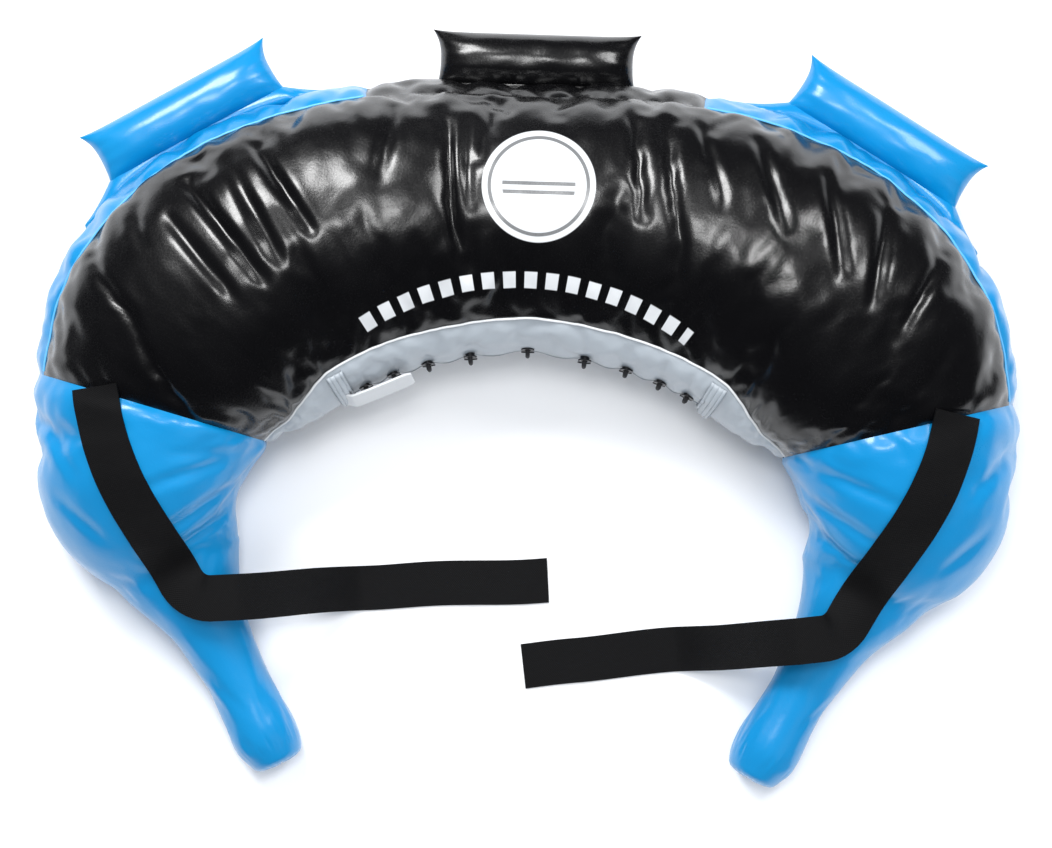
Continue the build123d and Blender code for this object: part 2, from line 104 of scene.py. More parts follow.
class Value:
    """A shader output that takes part in arithmetic, adding Math nodes to its tree."""

    def __init__(self, tree: "Shader", socket: bpy.types.NodeSocket) -> None:
        """Wraps a socket.

        Args:
            tree: the shader that the socket belongs to.
            socket: the output socket.
        """
        self.tree = tree
        self.socket = socket

    def _math(self, operation: str, *terms: "Value | float") -> "Value":
        """Adds a Math node on some terms."""
        inputs = {index: term for index, term in enumerate(terms)}
        return self.tree.node("ShaderNodeMath", {"operation": operation}, inputs)

    def __add__(self, other: "Value | float") -> "Value":
        """Adds."""
        return self._math("ADD", self, other)

    __radd__ = __add__

    def __sub__(self, other: "Value | float") -> "Value":
        """Subtracts."""
        return self._math("SUBTRACT", self, other)

    def __rsub__(self, other: "Value | float") -> "Value":
        """Subtracts from a number."""
        return self._math("SUBTRACT", other, self)

    def __mul__(self, other: "Value | float") -> "Value":
        """Multiplies."""
        return self._math("MULTIPLY", self, other)

    __rmul__ = __mul__

    def __pow__(self, other: "Value | float") -> "Value":
        """Raises to a power."""
        return self._math("POWER", self, other)

    def sine(self) -> "Value":
        """The sine."""
        return self._math("SINE", self)

    def absolute(self) -> "Value":
        """The absolute value."""
        return self._math("ABSOLUTE", self)

    def largest(self, other: "Value | float") -> "Value":
        """The larger of two."""
        return self._math("MAXIMUM", self, other)

    def smallest(self, other: "Value | float") -> "Value":
        """The smaller of two."""
        return self._math("MINIMUM", self, other)

    def step(self, low: float, high: float) -> "Value":
        """A smooth rise from 0 at low to 1 at high.

        Args:
            low: where the rise starts.
            high: where it ends.

        Returns:
            The risen value.
        """
        settings = {"interpolation_type": "SMOOTHSTEP"}
        inputs = {"Value": self, "From Min": low, "From Max": high}
        return self.tree.node("ShaderNodeMapRange", settings, inputs)


class Shader:
    """One material's node tree."""

    def __init__(self, name: str) -> None:
        """Starts a material with a Principled shader.

        Args:
            name: the material's name.
        """
        self.material = bpy.data.materials.new(name)
        self.material.use_nodes = True
        self.nodes = self.material.node_tree.nodes
        self.links = self.material.node_tree.links
        self.surface = self.nodes["Principled BSDF"]

    def node(
        self,
        kind: str,
        settings: dict[str, object] | None = None,
        inputs: dict[int | str, object] | None = None,
        output: int | str = 0,
    ) -> Value:
        """Adds a node.

        Args:
            kind: the node's type.
            settings: its own settings, set before its sockets.
            inputs: values or links of its sockets.
            output: which output to hand back.

        Returns:
            The wrapped output.
        """
        made = self.nodes.new(kind)
        for key, setting in (settings or {}).items():
            setattr(made, key, setting)
        for key, given in (inputs or {}).items():
            self.feed(made.inputs[key], given)
        return Value(self, made.outputs[output])

    def feed(self, socket: bpy.types.NodeSocket, given: object) -> None:
        """Links or sets one input socket.

        Args:
            socket: the input.
            given: a wrapped output or a plain value.
        """
        if isinstance(given, Value):
            self.links.new(given.socket, socket)
        else:
            socket.default_value = given

    def mix(self, factor: Value | float, first: object, second: object) -> Value:
        """Mixes two colours.

        Args:
            factor: 0 for the first, 1 for the second.
            first: a colour or its link.
            second: a colour or its link.

        Returns:
            The mixed colour.
        """
        made = self.nodes.new("ShaderNodeMix")
        made.data_type = "RGBA"
        self.feed(made.inputs["Factor"], factor)
        for key, given in (("A", first), ("B", second)):
            socket = next(s for s in made.inputs if s.name == key and s.type == "RGBA")
            self.feed(socket, given if isinstance(given, Value) else (*given, 1.0))
        out = next(s for s in made.outputs if s.type == "RGBA")
        return Value(self, out)

    def place(self) -> Value:
        """The point on the object, in metres."""
        return self.node("ShaderNodeTexCoord", output="Object")

    def axes(self, vector: Value) -> tuple[Value, Value, Value]:
        """The three parts of a vector."""
        made = self.nodes.new("ShaderNodeSeparateXYZ")
        self.links.new(vector.socket, made.inputs[0])
        return tuple(Value(self, out) for out in made.outputs)

    def noise(self, vector: Value, scale: float, detail: float = 2.0, roughness: float = 0.5) -> Value:
        """A soft noise value at a scale in features per metre."""
        inputs = {"Vector": vector, "Scale": scale, "Detail": detail, "Roughness": roughness}
        return self.node("ShaderNodeTexNoise", inputs=inputs)

    def bump(self, height: Value, depth: float, strength: float = 1.0) -> Value:
        """A normal bent by a height.

        Args:
            height: the height, 0 to 1.
            depth: what a height of 1 is, in metres.
            strength: how much of it to use.

        Returns:
            The normal.
        """
        inputs = {"Height": height, "Distance": depth, "Strength": strength}
        return self.node("ShaderNodeBump", inputs=inputs, output="Normal")

    def finish(self, **sockets: object) -> bpy.types.Material:
        """Sets the Principled shader's sockets, with underscores for spaces, and hands back the material."""
        for key, given in sockets.items():
            self.feed(self.surface.inputs[key.replace("_", " ")], given)
        return self.material


# ---- finishes ------------------------------------------------------------------------------------------


@dataclass(frozen=True)
class Vinyl:
    """Glossy coated vinyl with a fine pressed grain and small handling creases."""

    name: str
    colour: tuple[float, float, float]
    worn: tuple[float, float, float]
    roughness: float = 0.25
    grain: float = 0.07 * MM
    coat: float = 0.25
    printed: bool = False

    def material(self) -> bpy.types.Material:
        """Builds the material.

        Returns:
            The material.
        """
        tree = Shader(self.name)
        point = tree.place()
        cells = tree.node("ShaderNodeTexVoronoi", {"feature": "F1"}, {"Vector": point, "Scale": 620.0})
        fine = tree.noise(point, 1500.0, 2.0)
        broad = tree.noise(point, 9.0, 3.0)
        crease = tree.noise(point, 60.0, 4.0, 0.62)
        ridge = 1.0 - (crease * 2.0 - 1.0).absolute() * 5.0
        height = cells * 0.5 + fine * 0.3 + ridge.largest(0.0) * 0.45
        colour = tree.mix(broad.step(0.42, 0.72) * 0.6, self.colour, self.worn)
        rough = broad * 0.12 + cells * 0.06 + (self.roughness - 0.08)
        if self.printed:
            colour, rough = self.print_on(tree, point, colour, rough)
        return tree.finish(
            Base_Color=colour,
            Roughness=rough,
            Normal=tree.bump(height, self.grain, 0.75),
            Coat_Weight=self.coat,
            Coat_Roughness=0.18,
            Specular_IOR_Level=0.5,
        )

    def print_on(self, tree: Shader, point: Value, colour: Value, rough: Value) -> tuple[Value, Value]:
        """Prints a plain emblem and an arched stripe on the front panel.

        Args:
            tree: the shader.
            point: the point on the object.
            colour: the colour so far.
            rough: the roughness so far.

        Returns:
            The new colour and roughness.
        """
        x, y, z = tree.axes(point)
        dx = x - EMBLEM.x
        dy = y - EMBLEM.y
        reach = (dx * dx + dy * dy) ** 0.5
        soft = 0.4 * MM
        disc = 1.0 - reach.step(EMBLEM.radius - soft, EMBLEM.radius + soft)
        ring = (reach - EMBLEM.ring).absolute().step(1.0 * MM, 1.0 * MM + soft)
        bars = ((dy - EMBLEM.bar_lift).absolute() - 3.0 * MM).absolute().step(1.1 * MM, 1.1 * MM + soft)
        inside = (reach - EMBLEM.ring).step(-9.0 * MM, -8.0 * MM)
        figure = ring.smallest(bars.largest(inside))
        emblem = disc * (figure * 0.75 + 0.25)
        ax = x - ARCH.x
        ay = y - ARCH.y
        bow = (ax * ax + ay * ay) ** 0.5
        band = 1.0 - (bow - ARCH.radius).absolute().step(ARCH.width - soft, ARCH.width + soft)
        turn = tree.node("ShaderNodeMath", {"operation": "ARCTAN2"}, {0: ax, 1: ay})
        ends = 1.0 - turn.absolute().step(ARCH.spread, ARCH.spread + 0.004)
        dash = (turn * ARCH.dashes).sine().step(-0.35, -0.2)
        above = z.step(60 * MM, 61 * MM)
        ink = (emblem.largest(band * ends * dash)) * above
        return tree.mix(ink, colour, (0.62, 0.64, 0.66)), rough + ink * 0.08


@dataclass(frozen=True)
class Emblem:
    """The round emblem's place and sizes."""

    x: float = 4 * MM
    y: float = 148 * MM
    radius: float = 38 * MM
    ring: float = 33 * MM
    bar_lift: float = -2 * MM


@dataclass(frozen=True)
class Arch:
    """The arched stripe's circle and the angle it covers each side."""

    x: float = -3 * MM
    y: float = -105 * MM
    radius: float = 191 * MM
    width: float = 5.2 * MM
    spread: float = 0.62
    dashes: float = 84.0


EMBLEM = Emblem()
ARCH = Arch()


@dataclass(frozen=True)
class Webbing:
    """Woven strap with ribs across, on the piece's own UV in metres; its two edge cords are not drawn."""

    name: str = "webbing"
    colour: tuple[float, float, float] = (0.002, 0.002, 0.0022)
    pale: tuple[float, float, float] = (0.007, 0.007, 0.008)
    rib: float = 1.5 * MM

    def material(self) -> bpy.types.Material:
        """Builds the material.

        Returns:
            The material.
        """
        tree = Shader(self.name)
        uv = tree.node("ShaderNodeUVMap", {"uv_map": "weave"})
        along, across, _ = tree.axes(uv)
        ribs = (along * (2 * math.pi / self.rib)).sine()
        yarns = (across * (2 * math.pi / (self.rib * 1.3))).sine()
        weave = ribs * yarns * 0.5 + ribs.absolute() * 0.3 + 0.3
        fuzz = tree.noise(tree.place(), 900.0, 3.0)
        colour = tree.mix(weave * 0.6 + fuzz * 0.3, self.colour, self.pale)
        return tree.finish(
            Base_Color=colour,
            Roughness=fuzz * 0.2 + 0.55,
            Normal=tree.bump(weave + fuzz * 0.3, 0.25 * MM, 0.8),
            Specular_IOR_Level=0.15,
        )


@dataclass(frozen=True)
class Cloth:
    """A plain matt cloth, cord or filling with a fuzzy surface."""

    name: str
    colour: tuple[float, float, float]
    shade: tuple[float, float, float]
    scale: float = 700.0
    roughness: float = 0.8
    depth: float = 0.2 * MM

    def material(self) -> bpy.types.Material:
        """Builds the material.

        Returns:
            The material.
        """
        tree = Shader(self.name)
        point = tree.place()
        fuzz = tree.noise(point, self.scale, 4.0, 0.7)
        broad = tree.noise(point, 25.0, 2.0)
        colour = tree.mix(fuzz * 0.6 + broad * 0.3, self.colour, self.shade)
        return tree.finish(
            Base_Color=colour,
            Roughness=fuzz * 0.15 + (self.roughness - 0.07),
            Normal=tree.bump(fuzz, self.depth, 0.8),
        )


@dataclass(frozen=True)
class Enamel:
    """Black enamelled metal for the eyelets."""

    name: str = "eyelet_enamel"

    def material(self) -> bpy.types.Material:
        """Builds the material.

        Returns:
            The material.
        """
        tree = Shader(self.name)
        spots = tree.noise(tree.place(), 800.0, 2.0)
        return tree.finish(
            Base_Color=tree.mix(spots, (0.012, 0.012, 0.014), (0.03, 0.03, 0.034)),
            Roughness=spots * 0.15 + 0.3,
            Metallic=0.6,
            Normal=tree.bump(spots, 0.03 * MM, 0.5),
        )


@dataclass
class Wardrobe:
    """Every finish, built once."""

    black: bpy.types.Material = field(init=False)
    blue: bpy.types.Material = field(init=False)

    def __post_init__(self) -> None:
        """Builds the materials."""
        deep, worn = (0.0030, 0.0030, 0.0036), (0.0060, 0.0060, 0.0068)
        self.black = Vinyl("black_vinyl", deep, worn, printed=True).material()
        self.black_plain = Vinyl("black_vinyl_plain", deep, worn).material()
        self.blue = Vinyl("blue_vinyl", (0.0, 0.215, 0.50), (0.003, 0.245, 0.55), roughness=0.3).material()
        pale = Vinyl("pale_blue_edge", (0.10, 0.45, 0.86), (0.16, 0.5, 0.9), roughness=0.4)
        self.pale_blue = pale.material()
        grey = Vinyl("grey_vinyl", (0.36, 0.40, 0.44), (0.42, 0.46, 0.50), roughness=0.4, coat=0.15)
        self.grey = grey.material()
        white = Vinyl("white_edge", (0.62, 0.64, 0.66), (0.7, 0.72, 0.74), roughness=0.45, coat=0.1)
        self.white = white.material()
        self.webbing = Webbing().material()
        self.lace = Cloth("lace_braid", (0.010, 0.010, 0.011), (0.03, 0.03, 0.034)).material()
        self.thread = Cloth("dark_thread", (0.06, 0.07, 0.08), (0.12, 0.13, 0.14)).material()
        self.tongue = Cloth("tongue_cloth", (0.05, 0.055, 0.06), (0.09, 0.10, 0.11)).material()
        self.sand = Cloth("sand_bag_cloth", (0.50, 0.43, 0.30), (0.62, 0.55, 0.42), 500.0).material()
        self.eyelet = Enamel().material()


# ---- the bag's form ------------------------------------------------------------------------------------


@dataclass(frozen=True)
class Section:
    """One section: its angle round the centreline in degrees, half width and half height in millimetres."""

    angle: float
    half_width: float
    half_height: float


SECTIONS = (
    Section(0.0, 91.0, 76.0),
    Section(14.0, 97.0, 77.5),
    Section(27.0, 101.0, 79.0),
    Section(40.0, 104.0, 80.0),
    Section(52.0, 103.0, 79.0),
    Section(64.0, 98.0, 76.0),
    Section(77.0, 84.0, 70.0),
    Section(88.0, 73.0, 64.0),
    Section(98.0, 66.5, 56.0),
    Section(109.0, 58.0, 46.0),
    Section(117.0, 47.0, 37.0),
)

HORN_PROFILE = (  # distance past the neck and radius, in millimetres
    (24.0, 35.0),
    (40.0, 28.5),
    (58.0, 25.0),
    (84.0, 22.0),
    (106.0, 21.3),
    (134.0, 24.2),
    (143.0, 23.4),
    (150.0, 20.4),
    (155.0, 15.5),
    (158.0, 9.5),
)


@dataclass
class Path:
    """The bag's centreline from the crown to the tip of one horn, with its section at each place along it."""

    half_span: float = 265.0
    crown_rise: float = 191.0
    arm_drop: float = 116.5
    squareness: float = 2.3
    arm_lean: float = 0.45
    settled: float = 6.0
    bend_centre_y: float = -57.4766
    horn_swing: float = 28.3
    horn_droop: float = math.asin((37.0 - 24.0 - 0.3) / 134.0)
    blur: float = 7.0
    known: dict = field(default_factory=dict)

    def __post_init__(self) -> None:
        """Works out the path's tables, in metres."""
        angles = np.linspace(0.0, SECTIONS[-1].angle, 300)
        rows = [self._along_arc(angle) for angle in angles]
        swing = math.radians(self.horn_swing)
        flat = math.cos(self.horn_droop)
        neck = rows[-1]
        for reach in np.arange(4.0, HORN_PROFILE[-1][0], 2.0):
            stations = [0.0] + [at for at, _ in HORN_PROFILE]
            radii = [r for _, r in HORN_PROFILE]
            radius = np.interp(reach, stations, [47.0] + radii)
            tall = np.interp(reach, stations, [37.0] + radii)
            x = neck[0] - math.sin(swing) * flat * reach
            y = neck[1] - math.cos(swing) * flat * reach
            z = 37.0 - math.sin(self.horn_droop) * reach
            rows.append((x, y, z, math.pi / 2 + swing, radius, tall))
        table = np.array(rows)
        steps = np.hypot(np.diff(table[:, 0]), np.diff(table[:, 1]))
        travel = np.concatenate([[0.0], np.cumsum(steps)])
        even = np.arange(0.0, travel[-1], 1.0)
        table = np.array([np.interp(even, travel, column) for column in table.T]).T
        kernel = np.exp(-0.5 * (np.arange(-20, 21) / self.blur) ** 2)
        kernel /= kernel.sum()
        for column in (2, 3, 4, 5):
            mirror = -1.0 if column == 3 else 1.0
            line = table[:, column]
            padded = np.concatenate([mirror * line[20:0:-1], line, np.full(20, line[-1])])
            table[:, column] = np.convolve(padded, kernel, mode="valid")
        self.travel = even * MM
        self.table = table
        self.table[:, (0, 1, 2, 4, 5)] *= MM
        self.neck_travel = float(np.interp(len(angles) - 1, range(len(travel)), travel)) * MM
        self.arc_travel = travel[: len(angles)] * MM
        self.arc_angles = angles

    def _along_arc(self, angle: float) -> tuple[float, float, float, float, float, float]:
        """One row of the arc's table, in millimetres.

        Args:
            angle: degrees round the centreline.

        Returns:
            X, y, z, heading, half width and half height.
        """
        level = abs(math.cos(math.radians(angle))) ** (2 / self.squareness)
        across = math.sin(math.radians(angle)) ** (2 / self.squareness)
        rise = self.crown_rise if angle <= 90 else self.arm_drop
        drop = rise * level if angle <= 90 else -rise * level
        slope_x = across ** (self.squareness - 1) / self.half_span
        slope_y = math.copysign(level ** (self.squareness - 1), drop) / rise
        heading = math.atan2(slope_x, slope_y)
        if angle > 90:
            heading = math.pi / 2 + (heading - math.pi / 2) * self.arm_lean
        wide = float(np.interp(angle, [s.angle for s in SECTIONS], [s.half_width for s in SECTIONS]))
        tall = float(np.interp(angle, [s.angle for s in SECTIONS], [s.half_height for s in SECTIONS]))
        sink = self.settled * min(1.0, (tall - 37.0) / 33.0)
        return self.half_span * across, self.bend_centre_y + drop, tall - sink, heading, wide, tall

    def travel_at(self, angle: float) -> float:
        """Distance along the centreline from the crown to an angle, with the angle's sign."""
        return math.copysign(float(np.interp(abs(angle), self.arc_angles, self.arc_travel)), angle)

    def neck_point(self, sign: float) -> Vector:
        """The horn's hinge on one side, -1 for the left and 1 for the right."""
        return Vector((sign * 0.239698, -0.116104, 0.037))

    @property
    def end(self) -> float:
        """Distance along the centreline to the horn's tip."""
        return float(self.travel[-1])

    def frame(self, along: float) -> tuple[Vector, Vector, float, float]:
        """The section at a place along the path.

        Args:
            along: signed distance from the crown, positive to the right.

        Returns:
            Its middle, the way out of the bag in plan, its half width and its half height.
        """
        if along not in self.known:
            x, y, z, heading, wide, tall = (
                float(np.interp(abs(along), self.travel, column)) for column in self.table.T
            )
            sign = -1.0 if along < 0 else 1.0
            out = Vector((sign * math.sin(heading), math.cos(heading), 0.0))
            self.known[along] = (Vector((sign * x, y, z)), out, wide, tall)
        return self.known[along]

    def point(self, along: float, turn: float, grow: float = 0.0) -> Vector:
        """A point of the bag's surface.

        Args:
            along: signed distance from the crown.
            turn: angle round the section, 0 on the outer edge and 90 degrees on top, in radians.
            grow: how far outside the surface.

        Returns:
            The point.
        """
        middle, out, wide, tall = self.frame(along)
        spot = middle + out * ((wide + grow) * math.cos(turn))
        spot.z = max(middle.z + (tall + grow) * math.sin(turn), -grow if grow < 0 else 0.0)
        return spot

    def outward(self, along: float, turn: float) -> Vector:
        """The way out of the surface, leaving out how the sections change along the path."""
        _, out, wide, tall = self.frame(along)
        return (out * (math.cos(turn) * tall) + Vector((0, 0, math.sin(turn) * wide))).normalized()


def joint_named(joints: Sequence[dict], name: str) -> dict:
    """The record's joint of that name."""
    return next(joint for joint in joints if joint["name"] == name)


def link(name: str, mesh: bpy.types.Mesh) -> bpy.types.Object:
    """Puts a mesh into the scene as an object of that name."""
    made = bpy.data.objects.new(name, mesh)
    bpy.context.scene.collection.objects.link(made)
    return made


def to_object(bm: bmesh.types.BMesh, name: str, smooth: bool = True) -> bpy.types.Object:
    """Turns a bmesh into an object and frees it.

    Args:
        bm: the finished bmesh.
        name: the object's name.
        smooth: whether its faces are shaded smooth.

    Returns:
        The object.
    """
    bmesh.ops.recalc_face_normals(bm, faces=bm.faces)
    mesh = bpy.data.meshes.new(name)
    bm.to_mesh(mesh)
    bm.free()
    for face in mesh.polygons:
        face.use_smooth = smooth
    return link(name, mesh)


def subdivide(piece: bpy.types.Object, levels: int = 1) -> None:
    """Adds a subdivision surface with equal levels in view and render.

    Args:
        piece: the piece.
        levels: how often it is divided.
    """
    modifier = piece.modifiers.new("subdivision", "SUBSURF")
    modifier.levels = levels
    modifier.render_levels = levels
    modifier.boundary_smooth = "PRESERVE_CORNERS"


def thicken(piece: bpy.types.Object, thickness: float, offset: float = -1.0) -> None:
    """Gives a sheet a thickness; an offset of -1 grows it inwards."""
    modifier = piece.modifiers.new("thickness", "SOLIDIFY")
    modifier.thickness = thickness
    modifier.offset = offset


def harden(piece: bpy.types.Object) -> None:
    """Applies a piece's modifiers and keeps its corners crisp.

    Args:
        piece: the piece.
    """
    mesh = bpy.data.meshes.new_from_object(piece.evaluated_get(bpy.context.evaluated_depsgraph_get()))
    piece.modifiers.clear()
    piece.data = mesh
    mesh.set_sharp_from_angle(angle=math.radians(50.0))


def grid_sheet(
    place: Callable[[float, float], Vector],
    columns: Sequence[float],
    rows: Sequence[float],
) -> bmesh.types.BMesh:
    """A sheet of quads, shaped from a flat grid.

    Args:
        place: gives a point for a column value and a row value.
        columns: the column values.
        rows: the row values.

    Returns:
        The bmesh, with "column" and "row" whole numbers on its faces and a UV map named weave.
    """
    bm = bmesh.new()
    wide, tall = len(columns) - 1, len(rows) - 1
    bmesh.ops.create_grid(bm, x_segments=wide, y_segments=tall, size=1.0)
    weave = bm.loops.layers.uv.new("weave")
    column_layer = bm.faces.layers.int.new("column")
    row_layer = bm.faces.layers.int.new("row")
    for face in bm.faces:
        middle = face.calc_center_median()
        face[column_layer] = int((middle.x + 1) / 2 * wide)
        face[row_layer] = int((middle.y + 1) / 2 * tall)
        for corner in face.loops:
            column = round((corner.vert.co.x + 1) / 2 * wide)
            row = round((corner.vert.co.y + 1) / 2 * tall)
            corner[weave].uv = (columns[column], rows[row])
    for vert in bm.verts:
        column = round((vert.co.x + 1) / 2 * wide)
        row = round((vert.co.y + 1) / 2 * tall)
        vert.co = place(columns[column], rows[row])
    return bm


def spread(low: float, high: float, count: int) -> list[float]:
    """Evenly spaced values from low up to, and without, high."""
    return [low + (high - low) * index / count for index in range(count)]


# ---- the cover -----------------------------------------------------------------------------------------


@dataclass(frozen=True)
class Fold:
    """A long fold in the front of the cover, by its two ends in plan, in millimetres."""

    start: tuple[float, float]
    stop: tuple[float, float]
    width: float
    depth: float

    def lift(self, spot: Vector) -> float:
        """How far the fold moves a point out of the cover.

        Args:
            spot: the point.

        Returns:
            The distance in metres, below 0 for a groove.
        """
        first = Vector(self.start) * MM
        line = Vector(self.stop) * MM - first
        offset = Vector(spot.xy) - first
        share = offset.dot(line) / line.length_squared
        if not -0.2 < share < 1.15:
            return 0.0
        aside = (offset - line * min(max(share, 0.0), 1.0)).length / (self.width * MM)
        fade = math.sin(math.pi * min(max((share + 0.2) / 1.35, 0.0), 1.0)) ** 0.7
        if aside > 3.0:
            return 0.0
        return -self.depth * MM * fade * (1.0 - 0.9 * aside * aside) * math.exp(-aside * aside)


FOLDS = (
    Fold((-186, 168), (-146, 112), 5.0, 5.0),
    Fold((-205, 158), (-166, 92), 5.5, 3.6),
    Fold((-230, 143), (-176, 78), 5.0, 5.2),
    Fold((-241, 118), (-196, 68), 5.0, 4.2),
    Fold((-266, 122), (-256, 98), 3.5, 3.0),
    Fold((-290, 84), (-262, 52), 4.0, 2.6),
    Fold((-95, 200), (-103, 150), 4.5, 3.4),
    Fold((-62, 196), (-50, 112), 4.0, 4.0),
    Fold((-46, 190), (-40, 128), 3.5, 3.2),
    Fold((-30, 196), (-34, 160), 3.0, 2.4),
    Fold((66, 196), (74, 126), 4.0, 4.0),
    Fold((88, 192), (98, 118), 4.5, 4.2),
    Fold((112, 192), (128, 138), 4.0, 3.0),
    Fold((150, 182), (168, 122), 5.0, 3.8),
    Fold((196, 160), (206, 92), 5.0, 4.2),
    Fold((236, 136), (226, 76), 5.0, 3.8),
    Fold((272, 104), (246, 60), 4.0, 3.4),
    Fold((-205, -40), (-262, -64), 4.5, 3.2),
    Fold((-200, -58), (-246, -92), 4.0, 3.4),
    Fold((-197, -76), (-240, -106), 4.0, 3.0),
    Fold((-196, -34), (-240, -38), 4.0, 2.2),
    Fold((205, -36), (262, -60), 4.5, 3.2),
    Fold((200, -56), (250, -88), 4.0, 3.2),
    Fold((198, -78), (242, -108), 4.0, 3.0),
    Fold((332, -20), (300, -52), 4.5, 2.8),
    Fold((-332, -18), (-300, -56), 4.5, 2.8),
    Fold((-318, -70), (-284, -96), 4.0, 2.6),
    Fold((318, -72), (286, -100), 4.0, 2.6),
)


@dataclass
class Cover:
    """The whole sewn cover as one inflated skin, then cut along its seams into panels."""

    path: Path
    wardrobe: Wardrobe
    spine_turn: float = math.radians(25.0)
    end_seam: float = 77.0
    spine_joint: float = 18.5
    lacing_reach: float = 36.5
    lacing_gap: float = 2.5 * MM
    scallop: float = 2.0 * MM
    flare: float = 3.0 * MM
    seam_depth: float = 2.2 * MM
    slack: float = 0.05
    pressure: float = 5.0
    frames: int = 22
    cap: float = 7.0 * MM
    arm_cap: float = 3.6 * MM
    horn_cap: float = 1.1 * MM
    tip_rim: float = 9.3 * MM
    tip_edge: float = 2.2 * MM
    tip_level: float = -0.23
    tip_puckers: int = 17
    eyelet_step: float = 63.0 / 8
    rows_collar: int = 10
    rows_face: int = 38
    rows_spine: int = 16
    columns_middle: int = 22
    columns_shoulder: int = 62
    columns_end: int = 56

    def __post_init__(self) -> None:
        """Lays out the grid's columns along the path."""
        joint = self.path.travel_at(self.spine_joint)
        seam = self.path.travel_at(self.end_seam)
        right = spread(0.0, joint, self.columns_middle)
        right += spread(joint, seam, self.columns_shoulder)
        right += spread(seam, self.path.end, self.columns_end) + [self.path.end]
        self.columns = [-along for along in reversed(right[1:])] + right
        self.middle_column = len(right) - 1
        self.rows = list(range(2 * self.rows_collar + 2 * self.rows_face + self.rows_spine + 1))
        self.joint_columns = self.columns_middle
        self.seam_columns = self.columns_middle + self.columns_shoulder

    def collar_turn(self, along: float) -> float:
        """How far the collar reaches up the section from its inner edge, in radians."""
        stops = [0.0] + [self.path.travel_at(angle) for angle in (40.0, 77.0)] + [self.path.neck_travel]
        return math.radians(float(np.interp(abs(along), stops, [37.0, 32.0, 9.0, 25.0])))

    def opening(self, along: float) -> float:
        """1 in the laced opening and 0 beyond its bands."""
        edge = self.path.travel_at(self.lacing_reach)
        return min(max((edge - abs(along)) / (6 * MM), 0.0), 1.0)

    def between_eyelets(self, along: float) -> float:
        """How nearly a place is halfway between two eyelets.

        Args:
            along: signed distance from the crown.

        Returns:
            1 halfway and 0 at an eyelet.
        """
        angle = float(np.interp(abs(along), self.path.arc_travel, self.path.arc_angles))
        if angle > 31.5:
            return 0.5 * self.opening(along)
        return math.sin(math.pi * angle / self.eyelet_step) ** 2

    def turn_at(self, along: float, row: int) -> float:
        """The angle round the section of a row of the grid.

        Args:
            along: signed distance from the crown.
            row: the row.

        Returns:
            The angle in radians.
        """
        collar = self.collar_turn(along)
        _, _, _, tall = self.path.frame(along)
        lips = self.lacing_gap + self.scallop * self.between_eyelets(along)
        gap = self.opening(along) * math.asin(lips / tall)
        stops = [gap, collar, math.pi - self.spine_turn, math.pi]
        spine_row = self.rows_collar + self.rows_face
        places = [0, self.rows_collar, spine_row, spine_row + self.rows_spine / 2]
        total = self.rows[-1]
        if row > total / 2:
            return math.pi - float(np.interp(total - row, places, stops))
        return -math.pi + float(np.interp(row, places, stops))

    def seam_rows(self) -> tuple[int, int, int, int]:
        """The rows on which the cover is sewn: rear collar, rear spine, front spine and front collar."""
        first = self.rows_collar
        second = first + self.rows_face
        return first, second, second + self.rows_spine, second + self.rows_spine + self.rows_face

    def drawn_in(self, along: float, row: float) -> float:
        """How far the stitching draws the skin in at a place.

        Args:
            along: signed distance from the crown.
            row: the row.

        Returns:
            The distance in metres.
        """
        seams = self.seam_rows()
        seam = self.path.travel_at(self.end_seam)
        depth = 0.0
        if abs(along) <= seam:
            depth = math.exp(-min(abs(row - line) for line in seams) ** 2 / 1.2)
        across = math.exp(-(((abs(along) - seam) / (5 * MM)) ** 2))
        if seams[1] < row < seams[2]:
            joint = self.path.travel_at(self.spine_joint)
            across = max(across, math.exp(-(((abs(along) - joint) / (4 * MM)) ** 2)))
        return self.seam_depth * max(depth, across)

    def gathers(self, along: float, row: float) -> float:
        """How far the puckers of the gathered seams lift the skin at a place.

        Args:
            along: signed distance from the crown.
            row: the row.

        Returns:
            The distance in metres.
        """
        first, second, third, fourth = self.seam_rows()
        seam = self.path.travel_at(self.end_seam)
        if abs(along) > seam:
            return 0.0
        lift = 0.0
        for line, high, reach, pitch in (
            (third, 2.6, 7.0, 78.0),
            (second, 2.6, 7.0, 78.0),
            (fourth, 0.9, 3.0, 70.0),
            (first, 0.9, 3.0, 70.0),
        ):
            away = abs(row - line)
            wander = noise.noise(Vector((along * 9.0, line, 0.0)))
            wave = noise.noise(Vector((along * pitch + wander * 2.0, line * 3.1, 0.4 * away / reach)))
            rise = min(away / 1.5, 1.0)
            lift += high * MM * wave * rise * math.exp(-away / reach)
        return lift

    def place(self, along: float, row: float) -> Vector:
        """A point of the skin before it is inflated, with seams drawn in and folds started.

        Args:
            along: signed distance from the crown.
            row: the row.

        Returns:
            The point.
        """
        turn = self.turn_at(along, int(row))
        spot = self.path.point(along, turn)
        out = self.path.outward(along, turn)
        total = self.rows[-1]
        edge = min(row, total - row)
        if edge <= self.rows_collar:
            puff = self.opening(along) * self.between_eyelets(along) * (1 - edge / self.rows_collar) ** 1.5
            spot += out * (self.flare * puff)
        elif spot.z > 50 * MM:
            spot += out * sum(fold.lift(spot) for fold in FOLDS)
        horn = min(max((abs(along) - self.path.neck_travel) / (30 * MM), 0.0), 1.0)
        wobble = noise.noise(spot * 55.0) * 0.9 + noise.noise(spot * 140.0) * 0.5
        spot += out * (wobble * MM * min(1.0, edge / 3.0) * (1.0 - 0.7 * horn))
        spot += out * (self.gathers(along, row) - self.drawn_in(along, row))
        spot.z = max(spot.z, 0.0)
        return spot

